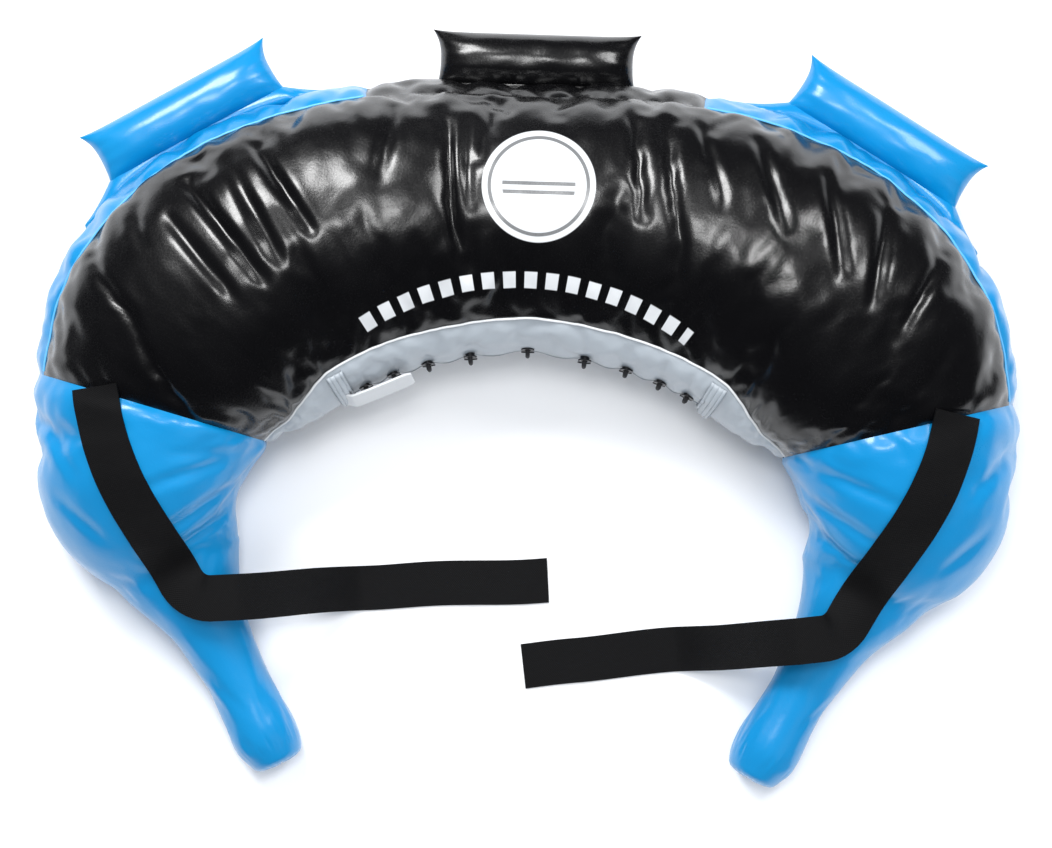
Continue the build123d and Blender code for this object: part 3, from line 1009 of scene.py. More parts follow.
    def skin(self) -> bpy.types.Object:
        """Makes the closed skin and inflates it.

        Returns:
            The skin.
        """
        bm = grid_sheet(self.place, self.columns, self.rows)
        bmesh.ops.remove_doubles(bm, verts=bm.verts, dist=0.05 * MM)
        skin = to_object(bm, "cover_skin")
        self.inflate(skin)
        return skin

    def inflate(self, skin: bpy.types.Object) -> None:
        """Runs the cloth on the skin with its seams held, caps how far it moved and keeps the result.

        Args:
            skin: the closed skin.
        """
        mesh = skin.data
        rest = np.empty(len(mesh.vertices) * 3)
        mesh.vertices.foreach_get("co", rest)
        rest = rest.reshape(-1, 3)
        pinned = self.seam_vertices(mesh)
        group = skin.vertex_groups.new(name="seams")
        group.add([int(index) for index in pinned], 1.0, "REPLACE")
        cloth = skin.modifiers.new("cloth", "CLOTH")
        settings = cloth.settings
        settings.quality = 5
        settings.mass = 0.25
        settings.tension_stiffness = 18
        settings.compression_stiffness = 18
        settings.shear_stiffness = 6
        settings.bending_stiffness = 0.35
        settings.tension_damping = 12
        settings.compression_damping = 12
        settings.air_damping = 4
        settings.use_pressure = True
        settings.uniform_pressure_force = self.pressure
        settings.vertex_group_mass = "seams"
        settings.shrink_min = -self.slack
        settings.effector_weights.gravity = 0.0
        cloth.collision_settings.use_collision = False
        cloth.point_cache.frame_start = 1
        cloth.point_cache.frame_end = self.frames
        scene = bpy.context.scene
        for frame in range(1, self.frames + 1):
            scene.frame_set(frame)
        graph = bpy.context.evaluated_depsgraph_get()
        moved = np.empty(len(mesh.vertices) * 3)
        skin.evaluated_get(graph).to_mesh().vertices.foreach_get("co", moved)
        skin.evaluated_get(graph).to_mesh_clear()
        skin.modifiers.remove(cloth)
        skin.vertex_groups.remove(group)
        shift = moved.reshape(-1, 3) - rest
        length = np.linalg.norm(shift, axis=1, keepdims=True)
        log.info("cloth moved %.1f mm on average, %.1f at most", length.mean() / MM, length.max() / MM)
        caps = self.caps(rest)
        shift *= np.tanh(length / caps) * caps / np.maximum(length, 1e-9)
        final = rest + shift
        final[:, 2] = np.maximum(final[:, 2], 0.0)
        mesh.vertices.foreach_set("co", final.ravel())
        mesh.update()
        scene.frame_set(1)

    def caps(self, rest: np.ndarray) -> np.ndarray:
        """How far each point may move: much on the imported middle, less on the arms, least on the horns.

        Args:
            rest: the points before the cloth ran.

        Returns:
            One distance for each point.
        """
        neck, _, _, _ = self.path.frame(self.path.neck_travel)
        shoulder, _, _, _ = self.path.frame(self.path.travel_at(self.end_seam))
        stops = [neck.y - 0.03, neck.y + 0.02, shoulder.y]
        return np.interp(rest[:, 1], stops, [self.horn_cap, self.arm_cap, self.cap])[:, None]

    def seam_vertices(self, mesh: bpy.types.Mesh) -> set[int]:
        """The vertices on the seams, on the lacing edges and on the horns' end seams.

        Args:
            mesh: the skin's mesh.

        Returns:
            Their indices.
        """
        columns = mesh.attributes["column"].data
        rows = mesh.attributes["row"].data
        touching: dict[int, set[tuple[int, int]]] = {}
        for face in mesh.polygons:
            cell = (columns[face.index].value, rows[face.index].value)
            for vertex in face.vertices:
                touching.setdefault(vertex, set()).add(cell)
        seams = self.seam_rows()
        middle = self.middle_column
        total = self.rows[-1]
        held = set()
        for vertex, cells in touching.items():
            row_set = {row for _, row in cells}
            column_set = {column for column, _ in cells}
            outer = max(abs(column + 0.5 - middle) for column in column_set)
            sewn_row = any(row - 1 in row_set and row in row_set for row in seams)
            beyond = outer > self.seam_columns + 1
            if sewn_row and not beyond:
                held.add(vertex)
            for line in (middle - self.seam_columns, middle + self.seam_columns):
                if line - 1 in column_set and line in column_set:
                    held.add(vertex)
            edge = min(min(row_set), total - 1 - max(row_set))
            if edge < 3 and outer < self.path_column(self.lacing_reach):
                held.add(vertex)
            if outer > len(self.columns) / 2 - 3:
                held.add(vertex)
        return held

    def path_column(self, angle: float) -> float:
        """How many columns from the crown an angle lies."""
        right = self.columns[self.middle_column :]
        return float(np.interp(self.path.travel_at(angle), right, range(self.middle_column + 1)))

    def cut(
        self, skin: bpy.types.Object, name: str, columns: tuple[int, int], rows: tuple[int, int]
    ) -> bpy.types.Object:
        """Copies one panel out of the skin.

        Args:
            skin: the inflated skin.
            name: the panel's name.
            columns: first and last-but-one column, counted from the crown.
            rows: first and last-but-one row.

        Returns:
            The panel.
        """
        bm = bmesh.new()
        bm.from_mesh(skin.data)
        column_layer = bm.faces.layers.int["column"]
        row_layer = bm.faces.layers.int["row"]
        middle = self.middle_column
        first, stop = columns[0] + middle, columns[1] + middle
        spare = [
            face
            for face in bm.faces
            if not (first <= face[column_layer] < stop and rows[0] <= face[row_layer] < rows[1])
        ]
        bmesh.ops.delete(bm, geom=spare, context="FACES")
        mesh = bpy.data.meshes.new(name)
        bm.to_mesh(mesh)
        bm.free()
        for face in mesh.polygons:
            face.use_smooth = True
        return link(name, mesh)

    def dress(
        self,
        panel: bpy.types.Object,
        material: bpy.types.Material,
        nodes: Sequence[str],
        rides: bool = True,
    ) -> None:
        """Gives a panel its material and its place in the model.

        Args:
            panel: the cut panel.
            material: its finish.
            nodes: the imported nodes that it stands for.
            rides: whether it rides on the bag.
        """
        panel.data.materials.clear()
        panel.data.materials.append(material)
        subdivide(panel)
        if nodes:
            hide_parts(*nodes)
        if rides:
            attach(panel, Body.BAG.value)
        log.info("panel %s: %d faces", panel.name, len(panel.data.polygons))

    def build(self) -> bpy.types.Object:
        """Makes the skin and cuts it into its panels.

        Returns:
            The whole skin, for things to be laid on. It is removed at the end.
        """
        skin = self.skin()
        looks = self.wardrobe
        rear_collar, rear_spine, front_spine, front_collar = self.seam_rows()
        total = self.rows[-1]
        seam, joint = self.seam_columns, self.joint_columns
        inner = (-seam, seam)
        front = self.cut(skin, "front_centre", inner, (front_spine, front_collar))
        self.dress(front, looks.black, ("front_centre_panel", "front_wool"))
        rear = self.cut(skin, "rear_centre", inner, (rear_collar, rear_spine))
        self.dress(rear, looks.black_plain, ("rear_centre_panel", "rear_wool"))
        middle = self.cut(skin, "spine_centre", (-joint, joint), (rear_spine, front_spine))
        self.dress(middle, looks.black_plain, ("spine_centre_strip",))
        for side in Side:
            word = side.word
            span = (joint, seam) if side is Side.RIGHT else (-seam, -joint)
            strip = self.cut(skin, f"{word}_spine", span, (rear_spine, front_spine))
            self.dress(strip, looks.blue, (f"{word}_spine_strip",))
            ends = (seam, 10**6) if side is Side.RIGHT else (-(10**6), -seam)
            arm = self.cut(skin, f"{word}_arm_and_horn", ends, (0, total))
            self.close_tip(arm)
            names = ["front_end_panel", "rear_end_panel", "arm_wool"]
            names += ["horn_cover", "horn_core", "horn_end_cap"]
            self.dress(arm, looks.blue, [f"{word}_{name}" for name in names], False)
            self.bend_horn(arm, side)
        ends = [f"{side.word}_collar_end" for side in Side]
        flaps = (("front", (front_collar, total), ends), ("rear", (0, rear_collar), []))
        for name, rows, more in flaps:
            nodes = [f"collar_{name}_flap"] + more
            flap = self.cut(skin, f"collar_{name}", inner, rows)
            thicken(flap, 1.2 * MM)
            self.dress(flap, looks.grey, nodes)
        return skin

    def close_tip(self, arm: bpy.types.Object) -> None:
        """Closes the open ring at a horn's tip with a drawn-in, puckered disc.

        Args:
            arm: the arm and horn, open at the tip.
        """
        bm = bmesh.new()
        bm.from_mesh(arm.data)
        rim = [edge for edge in bm.edges if edge.is_boundary and edge.calc_length() < self.tip_edge]
        loop = [edge for edge in rim if edge.verts[0].co.y < self.tip_level]
        centre = sum((edge.verts[0].co for edge in loop), Vector()) / len(loop)
        axis = (centre - self.path.neck_point(math.copysign(1.0, centre.x))).normalized()
        for shrink, push in ((0.88, 0.7), (0.60, 1.0), (0.3, 0.5), (0.12, 0.0)):
            made = bmesh.ops.extrude_edge_only(bm, edges=loop)["geom"]
            ring = [part for part in made if isinstance(part, bmesh.types.BMVert)]
            loop = [part for part in made if isinstance(part, bmesh.types.BMEdge) and part.is_boundary]
            middle = sum((vert.co for vert in ring), Vector()) / len(ring)
            for vert in ring:
                out = vert.co - middle
                angle = math.atan2(out.z, out.dot(axis.cross(Vector((0, 0, 1)))))
                pucker = math.sin(angle * self.tip_puckers) * 0.5 * MM * shrink
                vert.co = centre + out.normalized() * (self.tip_rim * shrink) + axis * (push * MM + pucker)
        bmesh.ops.contextual_create(bm, geom=loop)
        bmesh.ops.recalc_face_normals(bm, faces=bm.faces)
        for face in bm.faces:
            face.smooth = True
        bm.to_mesh(arm.data)
        bm.free()

    def bend_horn(self, arm: bpy.types.Object, side: Side) -> None:
        """Finds the horn's neck and bakes the arm's placement into its mesh.

        Args:
            arm: the arm and horn.
            side: which one.
        """
        neck = self.path.neck_point(side.value)
        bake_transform(arm)


# ---- fabric laid on the cover --------------------------------------------------------------------------


@dataclass
class Surface:
    """The inflated skin as something to lay other pieces on."""

    skin: bpy.types.Object

    def __post_init__(self) -> None:
        """Builds the search tree."""
        bm = bmesh.new()
        bm.from_mesh(self.skin.data)
        self.tree = BVHTree.FromBMesh(bm)
        bm.free()

    def laid(self, spot: Vector, out: Vector, lift: float) -> Vector:
        """Drops a point onto the skin.

        Args:
            spot: a point near the skin.
            out: the way out of it.
            lift: how far above the skin the point ends.

        Returns:
            The laid point, or the given one where there is no skin below it.
        """
        hit, _, _, _ = self.tree.ray_cast(spot + out * 0.05, -out, 0.11)
        return spot.copy() if hit is None else hit + out * lift


@dataclass
class Strap:
    """One webbing strap: sewn along the arm, turned over the neck, and free down to the floor."""

    side: Side
    surface: Surface
    wardrobe: Wardrobe
    run_in: float
    length: float
    joints: Sequence[dict]
    route: tuple[tuple[float, float], ...] = (
        (291, 12.1),
        (285, -24),
        (271, -60),
        (254, -89.9),
        (236.1, -121.9),
    )
    width: float = 32 * MM
    thickness: float = 1.6 * MM
    height: float = 77.8 * MM
    search_height: float = 110 * MM
    sewn_lift: float = 1.5 * MM
    tucked: int = 2
    turn_radius: float = 22 * MM
    run_out: float = 10 * MM
    landing: float = 84 * MM
    slope_run: float = 14 * MM
    piece_end: float = 101 * MM
    step: float = 3.5 * MM

    def hinge(self, name: str) -> tuple[Vector, Vector]:
        """A hinge's place and the way the tail runs from it.

        Args:
            name: the joint's name without its side.

        Returns:
            The place and the way.
        """
        joint = joint_named(self.joints, f"{self.side.word}_{name}")
        axis = Vector(joint["axis"])
        return Vector(joint["pos_m"]), Vector((-axis.y, axis.x, 0.0))

    def plan(self) -> list[Vector]:
        """The strap's plan line, from the end seam to its cut end.

        Returns:
            Its evenly spaced points.
        """
        hinge, heading = self.hinge("tail_lift")
        sign = self.side.value
        knots = np.array([(sign * x * MM, y * MM) for x, y in self.route])
        share = np.linspace(0.0, len(knots) - 1.0, 200)
        line = np.array([np.interp(share, range(len(knots)), column) for column in knots.T]).T
        for _ in range(900):
            line[1:-1] += 0.5 * ((line[:-2] + line[2:]) / 2 - line[1:-1])
        start = Vector((*line[-1], 0.0))
        into = Vector((*(line[-1] - line[-12]), 0.0)).normalized()
        points = [Vector((x, y, 0.0)) for x, y in line]
        points.append(start + into * self.run_in)
        leave = heading.normalized()
        hub_side = Vector((-into.y, into.x, 0.0))
        if hub_side.dot(leave) < 0:
            hub_side = -hub_side
        hub = points[-1] + hub_side * self.turn_radius
        angle = into.angle(leave)
        for index in range(1, 13):
            part = angle * index / 12
            arm = -hub_side * math.cos(part) + into * math.sin(part)
            points.append(hub + arm * self.turn_radius)
        drift = Vector(hinge) - (points[-1] + leave * self.run_out)
        drift.z = 0.0
        turned = len(points) - 13
        points = points[:turned] + [point + drift * ((i + 1) / 13) for i, point in enumerate(points[turned:])]
        foot = Vector((hinge.x, hinge.y, 0.0))
        points += [foot + leave * along for along in np.arange(0.0, self.length + self.step, self.step)]
        travel = np.concatenate([[0.0], np.cumsum([(b - a).length for a, b in zip(points, points[1:])])])
        hinge_travel = travel[turned + 13]
        stop = hinge_travel + self.length
        count = round(stop / self.step)
        even = np.linspace(0.0, stop, count + 1)
        table = np.array([tuple(point) for point in points])
        columns = [np.interp(even, travel, column) for column in table.T]
        self.hinge_travel = hinge_travel
        self.even = even
        return [Vector(values) for values in zip(*columns)]

    def drop(self, past: float) -> float:
        """Height of the strap's middle layer a distance past its hinge.

        Args:
            past: the distance.

        Returns:
            The height.
        """
        low = 0.5 * self.thickness
        high = self.height
        fall = self.landing - self.slope_run
        share = min(max((past - self.slope_run + 6 * MM) / (fall + 12 * MM), 0.0), 1.0)
        soft = share * share * (3 - 2 * share) * 0.55 + share * 0.45
        return high + (low - high) * min(soft, 1.0)

    def sewn_heights(self, points: list[Vector], ahead: list[Vector], lanes: list[float]) -> np.ndarray:
        """Heights of the sewn length on the skin, taut over its dips.

        Args:
            points: the strap's plan line.
            ahead: the way it runs at each point.
            lanes: places across its width.

        Returns:
            A height for each point and lane.
        """
        heights = np.zeros((len(points), len(lanes)))
        for row, (point, way) in enumerate(zip(points, ahead)):
            across = Vector((-way.y, way.x, 0.0))
            for column, lane in enumerate(lanes):
                spot = point + across * lane
                spot.z = self.search_height
                heights[row, column] = self.surface.laid(spot, Vector((0, 0, 1)), self.sewn_lift).z
        for _ in range(6):
            soft = heights.copy()
            soft[1:-1] = (heights[:-2] + heights[2:]) / 2
            soft[:, 1:-1] = (soft[:, :-2] + soft[:, 2:] + 2 * soft[:, 1:-1]) / 4
            heights = np.maximum(heights, soft)
        return heights

    def build(self) -> None:
        """Makes the strap's two lengths."""
        points = self.plan()
        seed = 3.0 if self.side is Side.LEFT else 11.0
        lanes = [self.width * (lane - 3) / 6 for lane in range(7)]
        after = points[1:] + points[-1:]
        before = points[:1] + points[:-1]
        ahead = [(stop - start).normalized() for stop, start in zip(after, before)]

        heights = self.sewn_heights(points, ahead, lanes)

        def place(column: float, lane: float) -> Vector:
            """The strap's point at a column and a lane.

            Args:
                column: place along the strap, in steps.
                lane: place across it, -1 to 1.

            Returns:
                The point.
            """
            index = int(column)
            past = self.even[index] - self.hinge_travel
            across = Vector((-ahead[index].y, ahead[index].x, 0.0))
            free = min(max(past / 0.06, 0.0), 1.0)
            stray = noise.noise(Vector((self.even[index] * 14, seed, 0.0))) * 2.2 * MM * free
            spot = points[index] + across * (lane + stray)
            if past > -8 * MM:
                wave = noise.noise(Vector((self.even[index] * 22, lane * 9, seed))) * 2.2 * MM
                spot.z = self.drop(past) + max(wave, 0.0) * min(max(past / 0.1, 0.0), 1.0)
                return spot
            laid = float(heights[index, lanes.index(lane)])
            share = min(max((past + 50 * MM) / (42 * MM), 0.0), 1.0)
            spot.z = laid + (max(laid, self.height) - laid) * share
            spot.z += (self.height - spot.z) * min(max((past + 20 * MM) / (12 * MM), 0.0), 1.0)
            return spot

        last = len(points) - 1
        split = int(np.searchsorted(self.even, self.hinge_travel + self.piece_end))
        word = self.side.word
        for name, first, stop in ((f"{word}_strap", self.tucked, split), (f"{word}_strap_end", split, last)):
            bm = grid_sheet(place, list(range(first, stop + 1)), lanes)
            weave = bm.loops.layers.uv["weave"]
            for face in bm.faces:
                for corner in face.loops:
                    corner[weave].uv.x = self.even[int(corner[weave].uv.x)]
            piece = to_object(bm, name)
            piece.data.materials.append(self.wardrobe.webbing)
            thicken(piece, self.thickness, 0.0)
            harden(piece)
            line = [place(index, 0.0) for index in range(first, stop + 1)]
            length = sum((b - a).length for a, b in zip(line, line[1:]))
            self.attach(piece, name.endswith("end"))
            log.info("strap %s: %d faces", name, len(piece.data.polygons))

    def attach(self, piece: bpy.types.Object, is_end: bool) -> None:
        """Hides the imported parts that a length of strap replaces and bakes its placement.

        Args:
            piece: the length of strap.
            is_end: whether it is the outer length.
        """
        word = self.side.word
        if is_end:
            knee, heading = self.hinge("tail_fold")
            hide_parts(f"{word}_strap_tail_outer")
            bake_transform(piece)
            return
        hinge, heading = self.hinge("tail_lift")
        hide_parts(f"{word}_upper_strap", f"{word}_strap_turn", f"{word}_strap_tail_inner")
        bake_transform(piece)


@dataclass
class Grip:
    """One padded side grip: a stuffed pillow with pointed corners, and its gusset on the spine."""

    name: str
    angle: float
    path: Path
    wardrobe: Wardrobe
    stand: float = 2.5 * MM
    radius: float = 17.0 * MM
    half_length: float = 67.0 * MM
    outer_ear: float = 6.0 * MM
    inner_ear: float = 2.5 * MM
    gusset_reach: float = 99.0 * MM

    def __post_init__(self) -> None:
        """Finds the grip's place on the spine."""
        along = self.path.travel_at(self.angle) if self.angle else 0.0
        middle, out, wide, _ = self.path.frame(along)
        self.out = out
        self.along = Vector((out.y, -out.x, 0.0))
        self.foot = middle + out * wide
        self.middle = self.foot + out * (self.stand + self.radius)
        self.body = f"{self.name}_grip"

    def pillow_point(self, share: float, turn: float) -> Vector:
        """A point of the pillow.

        Args:
            share: its share of the half length, -1 to 1.
            turn: its angle round the roll.

        Returns:
            The point.
        """
        across, up = math.cos(turn), math.sin(turn)
        near_end = abs(share)
        tall = (self.radius - 0.4 * MM) * max(1.0 - near_end**5.0, 0.0) ** 0.55
        wide = self.radius + 2.0 * MM + 1.6 * MM * near_end**9
        ear = self.outer_ear if across > 0 else self.inner_ear
        long = self.half_length + ear * abs(across) ** 2.5 * near_end**3
        pinch = 1.3 * MM * math.cos(across * 15.0 + share * 2.0) * near_end**6 * (1 - near_end**14)
        sag = noise.noise(Vector((share * 4.0, across * 2.0, self.angle))) * 0.8 * MM * (1 - near_end**8)
        spot = self.middle + self.along * (share * long) + self.out * (wide * across)
        spot.z += up * (tall + pinch + sag)
        return spot

    def pillow(self) -> bpy.types.Object:
        """Makes the pillow.

        Returns:
            The pillow, closed at both ends.
        """
        shares = [math.sin(math.pi / 2 * (index / 24 - 1)) for index in range(49)]
        turns = [2 * math.pi * index / 40 for index in range(41)]
        bm = grid_sheet(self.pillow_point, shares, turns)
        bmesh.ops.remove_doubles(bm, verts=bm.verts, dist=0.05 * MM)
        piece = to_object(bm, f"{self.name}_grip_pillow")
        subdivide(piece)
        return piece

    def gusset_point(self, share: float, turn: float) -> Vector:
        """A point of the gusset between the spine and the pillow.

        Args:
            share: its share of the gusset's reach, -1 to 1.
            turn: its angle round the gusset's section.

        Returns:
            The point.
        """
        run = share * self.gusset_reach
        held = self.half_length - 4 * MM
        past = max(abs(run) - held, 0.0) / (self.gusset_reach - held)
        top = 13.0 * MM * (1 - past) ** 1.7 + 1.2 * MM
        bow = self.sink(run)
        level = (1 - math.cos(turn)) / 2
        thick = (9.0 - 6.0 * level) * MM * (1.0 - 0.8 * past * past)
        crease = 0.9 * MM * math.sin(run / MM * 0.55 + level * 3.0) * min(past * 3, 1.0)
        spot = self.foot + self.along * run + self.out * (-3.0 * MM + (top + 3.0 * MM) * level - bow)
        spot.z += math.sin(turn) * (thick + crease)
        return spot

    def sink(self, run: float) -> float:
        """How far the spine has curved away from the grip's line at a distance along it."""
        step = run / 0.30
        return 0.30 * (1 - math.sqrt(max(1 - step * step, 0.0)))

    def gusset(self) -> bpy.types.Object:
        """Makes the gusset.

        Returns:
            The gusset.
        """
        shares = [index / 30 - 1 for index in range(61)]
        turns = [2 * math.pi * index / 24 for index in range(25)]
        bm = grid_sheet(self.gusset_point, shares, turns)
        bmesh.ops.remove_doubles(bm, verts=bm.verts, dist=0.05 * MM)
        bmesh.ops.holes_fill(bm, edges=[edge for edge in bm.edges if edge.is_boundary], sides=40)
        piece = to_object(bm, f"{self.name}_grip_gusset")
        subdivide(piece)
        return piece

    def build(self) -> None:
        """Makes the grip and places it in the model."""
        centre = self.name == "centre"
        material = self.wardrobe.black_plain if centre else self.wardrobe.blue
        pillow = self.pillow()
        gusset = self.gusset()
        for piece in (pillow, gusset):
            piece.data.materials.append(material)
        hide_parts(f"{self.name}_grip_cover", f"{self.name}_grip_core")
        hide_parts(f"{self.name}_grip_tabs")
        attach(pillow, self.body)
        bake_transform(gusset)
        log.info("grip %s", self.name)


@dataclass
class Trim:
    """The small sewn pieces: seam edges, collar bands, the tongue behind the lacing and the closing tab."""

    path: Path
    cover: Cover
    surface: Surface
    wardrobe: Wardrobe
    joints: Sequence[dict]

    def build(self, skin: bpy.types.Object) -> None:
        """Makes every trim piece.

        Args:
            skin: the inflated skin.
        """
        rear_collar, rear_spine, front_spine, front_collar = self.cover.seam_rows()
        seam, joint = self.cover.seam_columns, self.cover.joint_columns
        for level, row in (("front", front_collar), ("rear", rear_collar)):
            name = f"collar_edge_{level}"
            self.edge(skin, name, row, (-seam, seam), 0.9 * MM, self.wardrobe.white, "grey_vinyl")
        for word, span in (("left", (-seam, -joint)), ("right", (joint, seam))):
            for level, row in (("front", front_spine), ("rear", rear_spine)):
                name = f"{word}_spine_edge_{level}"
                self.edge(skin, name, row, span, 0.8 * MM, self.wardrobe.pale_blue, "blue_vinyl")
        for side in Side:
            self.band(side)
        self.tongue()
        self.tab()

    def edge(
        self,
        skin: bpy.types.Object,
        name: str,
        row: int,
        span: tuple[int, int],
        radius: float,
        material: bpy.types.Material,
        slot: str,
    ) -> None:
        """Makes a folded seam edge along a row of the skin.

        Args:
            skin: the inflated skin.
            name: the piece's name.
            row: the seam's row.
            span: first and last-but-one column, counted from the crown.
            radius: the edge's radius.
            material: its finish.
            slot: the record's material slot; not used.
        """
        bm = bmesh.new()
        bm.from_mesh(skin.data)
        column_layer = bm.faces.layers.int["column"]
        row_layer = bm.faces.layers.int["row"]
        middle = self.cover.middle_column
        places = []
        for edge in bm.edges:
            rows = {face[row_layer] for face in edge.link_faces}
            columns = {face[column_layer] - middle for face in edge.link_faces}
            if rows == {row - 1, row} and len(columns) == 1 and span[0] <= min(columns) < span[1]:
                out = sum((face.normal for face in edge.link_faces), Vector()).normalized()
                spot = (edge.verts[0].co + edge.verts[1].co) / 2
                ripple = 0.5 * MM * noise.noise(spot * 160)
                places.append((min(columns), spot + out * (radius * 0.5 + ripple)))
        bm.free()
        places.sort(key=lambda pair: pair[0])
        curve = bpy.data.curves.new(name, "CURVE")
        curve.dimensions = "3D"
        curve.bevel_depth = radius
        curve.bevel_resolution = 2
        curve.use_fill_caps = True
        spline = curve.splines.new("POLY")
        spline.points.add(len(places) - 1)
        for point, (_, spot) in zip(spline.points, places):
            point.co = (*spot, 1.0)
        shape = bpy.data.objects.new(name, curve)
        bpy.context.scene.collection.objects.link(shape)
        mesh = bpy.data.meshes.new_from_object(shape.evaluated_get(bpy.context.evaluated_depsgraph_get()))
        bpy.data.objects.remove(shape)
        for face in mesh.polygons:
            face.use_smooth = True
        mesh.materials.clear()
        mesh.materials.append(material)
        piece = link(name, mesh)
        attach(piece, Body.BAG.value)

    def band(self, side: Side) -> None:
        """Makes the stitched band across the collar at one end of the lacing.

        Args:
            side: which end.
        """
        middle = self.path.travel_at(38.0) * side.value
        half = 9.0 * MM
        reach = self.cover.collar_turn(middle) - math.radians(1.5)
        columns = [middle + half * (index / 12 - 1) for index in range(25)]
        turns = [math.pi - reach + 2 * reach * index / 40 for index in range(41)]

        def place(along: float, turn: float) -> Vector:
            """The band's point at a place along the path and round the section.

            Args:
                along: signed distance from the crown.
                turn: the angle round the section.

            Returns:
                The point.
            """
            out = self.path.outward(along, turn)
            offset = abs(along - middle) / half
            ridge = 0.7 * MM * abs(math.sin(offset * math.pi * 1.5))
            lift = (1.3 * MM if offset < 0.98 else 0.2 * MM) + ridge
            return self.surface.laid(self.path.point(along, turn), out, lift)

        piece = to_object(grid_sheet(place, columns, turns), f"{side.word}_collar_stitched_band")
        thicken(piece, 1.0 * MM)
        piece.data.materials.append(self.wardrobe.grey)
        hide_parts(f"{side.word}_collar_band")
        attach(piece, Body.BAG.value)
        for index, offset in enumerate((-6.0, 0.0, 6.0)):
            self.stitches(f"{side.word}_band_stitches_{index}", middle + offset * MM, reach)

    def stitches(self, name: str, along: float, reach: float) -> None:
        """Makes one row of stitches across a collar band.

        Args:
            name: the piece's name.
            along: the row's place along the path.
            reach: how far up and down the section it runs, in radians.
        """
        bm = bmesh.new()
        count = 26
        for index in range(count):
            turn = math.pi - reach * 0.94 + 2 * reach * 0.94 * (index + 0.5) / count
            out = self.path.outward(along, turn)
            spot = self.surface.laid(self.path.point(along, turn), out, 1.9 * MM)
            nearby = self.surface.laid(self.path.point(along, turn + 0.02), out, 1.9 * MM)
            length = (nearby - spot).normalized()
            basis = Matrix((length, out.cross(length).normalized(), out)).transposed().to_4x4()
            basis = Matrix.Translation(spot) @ basis @ Matrix.Diagonal((2.4 * MM, 0.7 * MM, 0.6 * MM, 1.0))
            bmesh.ops.create_icosphere(bm, subdivisions=1, radius=0.5, matrix=basis)
        piece = to_object(bm, name)
        piece.data.materials.append(self.wardrobe.thread)
        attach(piece, Body.BAG.value)

    def tongue(self) -> None:
        """Makes the cloth tongue behind the lacing."""
        reach = self.path.travel_at(37.0)
        columns = [reach * (index / 30 - 1) for index in range(61)]
        turns = [math.pi + math.radians(20.0) * (index / 5 - 1) for index in range(11)]
        bm = grid_sheet(lambda along, turn: self.path.point(along, turn, -8.0 * MM), columns, turns)
        piece = to_object(bm, "lacing_tongue")
        thicken(piece, 1.0 * MM)
        piece.data.materials.append(self.wardrobe.tongue)
        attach(piece, Body.BAG.value)

    def tab(self) -> None:
        """Makes the closing tab, folded webbing sewn to the band at the hinge's place, and bakes its
        placement.
        """
        joint = joint_named(self.joints, "closure_tab_fold")
        hinge, up = Vector(joint["pos_m"]), Vector(joint["axis"]).normalized()
        out = Vector((-up.x, -up.y, 0.0)).normalized()
        along = Vector((-out.y, out.x, 0.0))
        face = along.cross(up).normalized()
        if face.dot(out) < 0:
            face = -face
        runs = [-9.0 * MM + 51.0 * MM * index / 24 for index in range(25)]
        rises = [20.0 * MM * (index / 8 - 0.5) for index in range(9)]

        def place(run: float, rise: float) -> Vector:
            """The tab's point at a distance past its hinge and up its height.

            Args:
                run: distance past the hinge.
                rise: height above its middle.

            Returns:
                The point.
            """
            tuck = min(max(-run / (9 * MM), 0.0), 1.0)
            curl = 1.6 * MM * (max(run, 0.0) / (42 * MM)) ** 2 + 0.5 * MM * math.sin(run * 90)
            corner = max(run - 36 * MM, 0.0) / (6 * MM)
            narrow = 1.0 - 0.22 * corner * corner
            sunk = 4.6 * MM * tuck * tuck * (3 - 2 * tuck)
            return hinge + along * run + up * (rise * narrow) + face * (curl - sunk)

        piece = to_object(grid_sheet(place, runs, rises), "closing_tab")
        thicken(piece, 1.8 * MM, 0.0)
        bevel = piece.modifiers.new("edge", "BEVEL")
        bevel.width = 0.5 * MM
        bevel.segments = 2
        bevel.limit_method = "ANGLE"
        piece.data.materials.append(self.wardrobe.white)
        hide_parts("closure_tab")
        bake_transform(piece)


def dress_packed_nodes(nodes: dict[str, bpy.types.Object], wardrobe: Wardrobe) -> None:
    """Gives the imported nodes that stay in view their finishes.

    Args:
        nodes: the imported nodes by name.
        wardrobe: the finishes.
    """
    finishes = {"eyelets": wardrobe.eyelet, "lace": wardrobe.lace}
    finishes |= {f"{name}_sand_bag": wardrobe.sand for name in ("left", "centre", "right")}
    for name, material in finishes.items():
        for slot in nodes[name].material_slots:
            slot.material = material


# ---- floor, light and camera ---------------------------------------------------------------------------


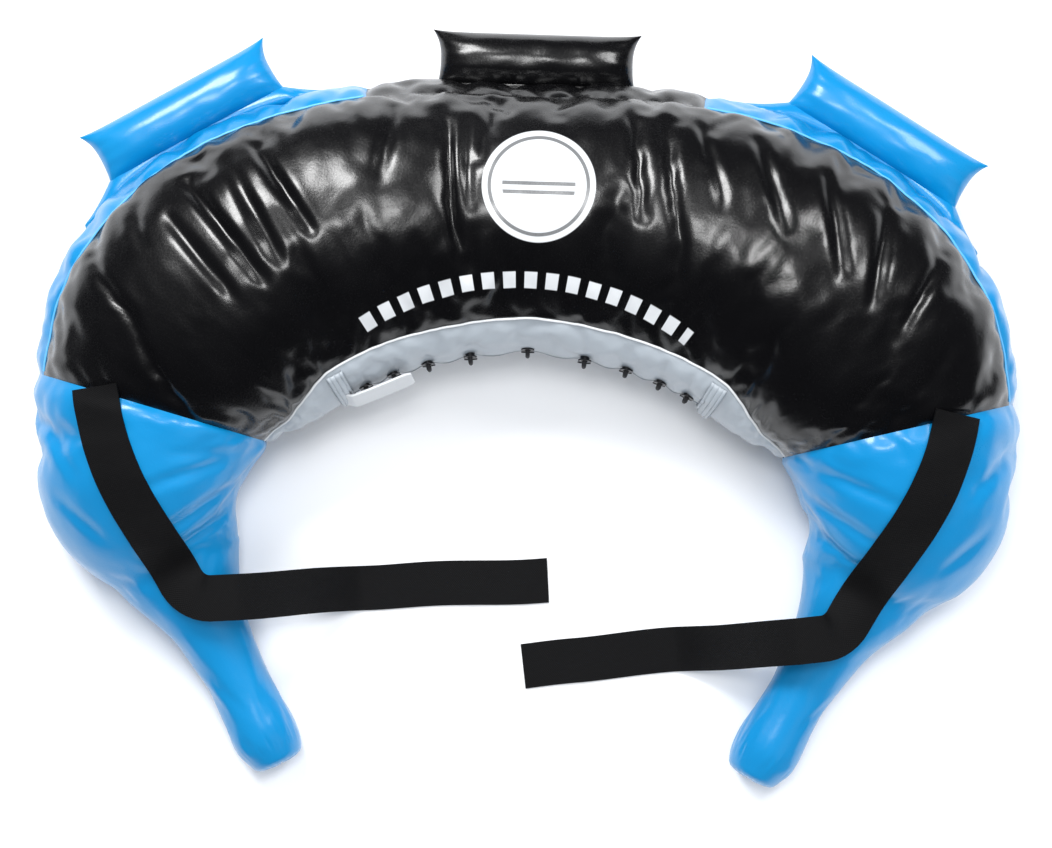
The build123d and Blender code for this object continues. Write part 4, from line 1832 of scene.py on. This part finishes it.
@dataclass
class Studio:
    """A plain pale floor, soft light from the upper left and a camera straight above."""

    distance: float = 1.9
    seen_width: float = 0.728
    seen_height: float = 75 * MM
    aim_x: float = 2.4 * MM
    aim_y: float = -8.7 * MM
    roll: float = math.radians(1.8)
    elevation: float = 88.0

    def build(self) -> None:
        """Adds the floor, the lights and the camera."""
        scene = bpy.context.scene
        scene.view_settings.view_transform = "Standard"
        self.floor()
        self.world()
        self.lamp("key", (-0.75, 1.25, 1.7), 0.7, 38.0)
        self.lamp("side", (0.95, 0.95, 1.7), 0.5, 12.0)
        self.lamp("crest", (-0.1, 0.30, 2.2), 0.40, 9.0)
        self.lamp("overhead", (0.1, 0.35, 2.5), 0.9, 12.0, glossy=False)
        self.lamp("fill", (1.5, -0.9, 1.4), 1.4, 9.0, glossy=False)
        self.camera()

    def floor(self) -> None:
        """Adds the floor."""
        bm = bmesh.new()
        bmesh.ops.create_grid(bm, x_segments=2, y_segments=2, size=6.0)
        bmesh.ops.translate(bm, verts=bm.verts, vec=(0, 0, -0.4 * MM))
        floor = to_object(bm, "floor", smooth=False)
        tree = Shader("floor")
        speck = tree.noise(tree.place(), 3.0, 2.0)
        floor.data.materials.append(
            tree.finish(Base_Color=tree.mix(speck, (0.93, 0.935, 0.95), (0.95, 0.955, 0.965)), Roughness=0.9)
        )

    def world(self) -> None:
        """Lights the scene evenly from all round."""
        world = bpy.data.worlds.new("studio")
        world.use_nodes = True
        world.node_tree.nodes["Background"].inputs["Color"].default_value = (0.93, 0.96, 1.0, 1.0)
        world.node_tree.nodes["Background"].inputs["Strength"].default_value = 0.62
        world.cycles_visibility.glossy = False
        bpy.context.scene.world = world

    def lamp(
        self, name: str, spot: tuple[float, float, float], size: float, power: float, glossy: bool = True
    ) -> None:
        """Adds a square soft light that faces the bag.

        Args:
            name: the light's name.
            spot: its place.
            size: its side.
            power: its watts.
            glossy: whether it shows in reflections.
        """
        data = bpy.data.lights.new(name, "AREA")
        data.size = size
        data.energy = power
        lamp = bpy.data.objects.new(name, data)
        lamp.location = spot
        lamp.visible_glossy = glossy
        lamp.rotation_euler = (-Vector(spot)).to_track_quat("-Z", "Y").to_euler()
        bpy.context.scene.collection.objects.link(lamp)

    def camera(self) -> None:
        """Adds the camera."""
        data = bpy.data.cameras.new("camera")
        data.angle = 2 * math.atan(self.seen_width / 2 / (self.distance - self.seen_height))
        camera = bpy.data.objects.new("camera", data)
        tilt = math.radians(90.0 - self.elevation)
        back = Vector((0.0, -math.sin(tilt), math.cos(tilt)))
        aim = Vector((self.aim_x, self.aim_y, self.seen_height))
        place = aim + back * (self.distance - self.seen_height)
        turn = Matrix.Rotation(self.roll, 4, "Z") @ Matrix.Rotation(tilt, 4, "X")
        camera.matrix_world = Matrix.Translation(place) @ turn
        bpy.context.scene.collection.objects.link(camera)
        bpy.context.scene.camera = camera


def main() -> None:
    """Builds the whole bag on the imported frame."""
    logging.basicConfig(level=logging.INFO, format="%(name)s: %(message)s")
    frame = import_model()
    joints = frame["record"]["behaviour"]["joints"]
    studio = Studio()
    studio.build()
    wardrobe = Wardrobe()
    path = Path()
    cover = Cover(path, wardrobe)
    skin = cover.build()
    surface = Surface(skin)
    Trim(path, cover, surface, wardrobe, joints).build(skin)
    Strap(Side.LEFT, surface, wardrobe, 2 * MM, 224 * MM, joints).build()
    Strap(Side.RIGHT, surface, wardrobe, 18 * MM, 200 * MM, joints).build()
    for name, angle in (("left", -40.0), ("centre", 0.0), ("right", 40.0)):
        Grip(name, angle, path, wardrobe).build()
    dress_packed_nodes(frame["nodes"], wardrobe)
    bpy.data.objects.remove(skin)


if __name__ == "__main__":
    main()
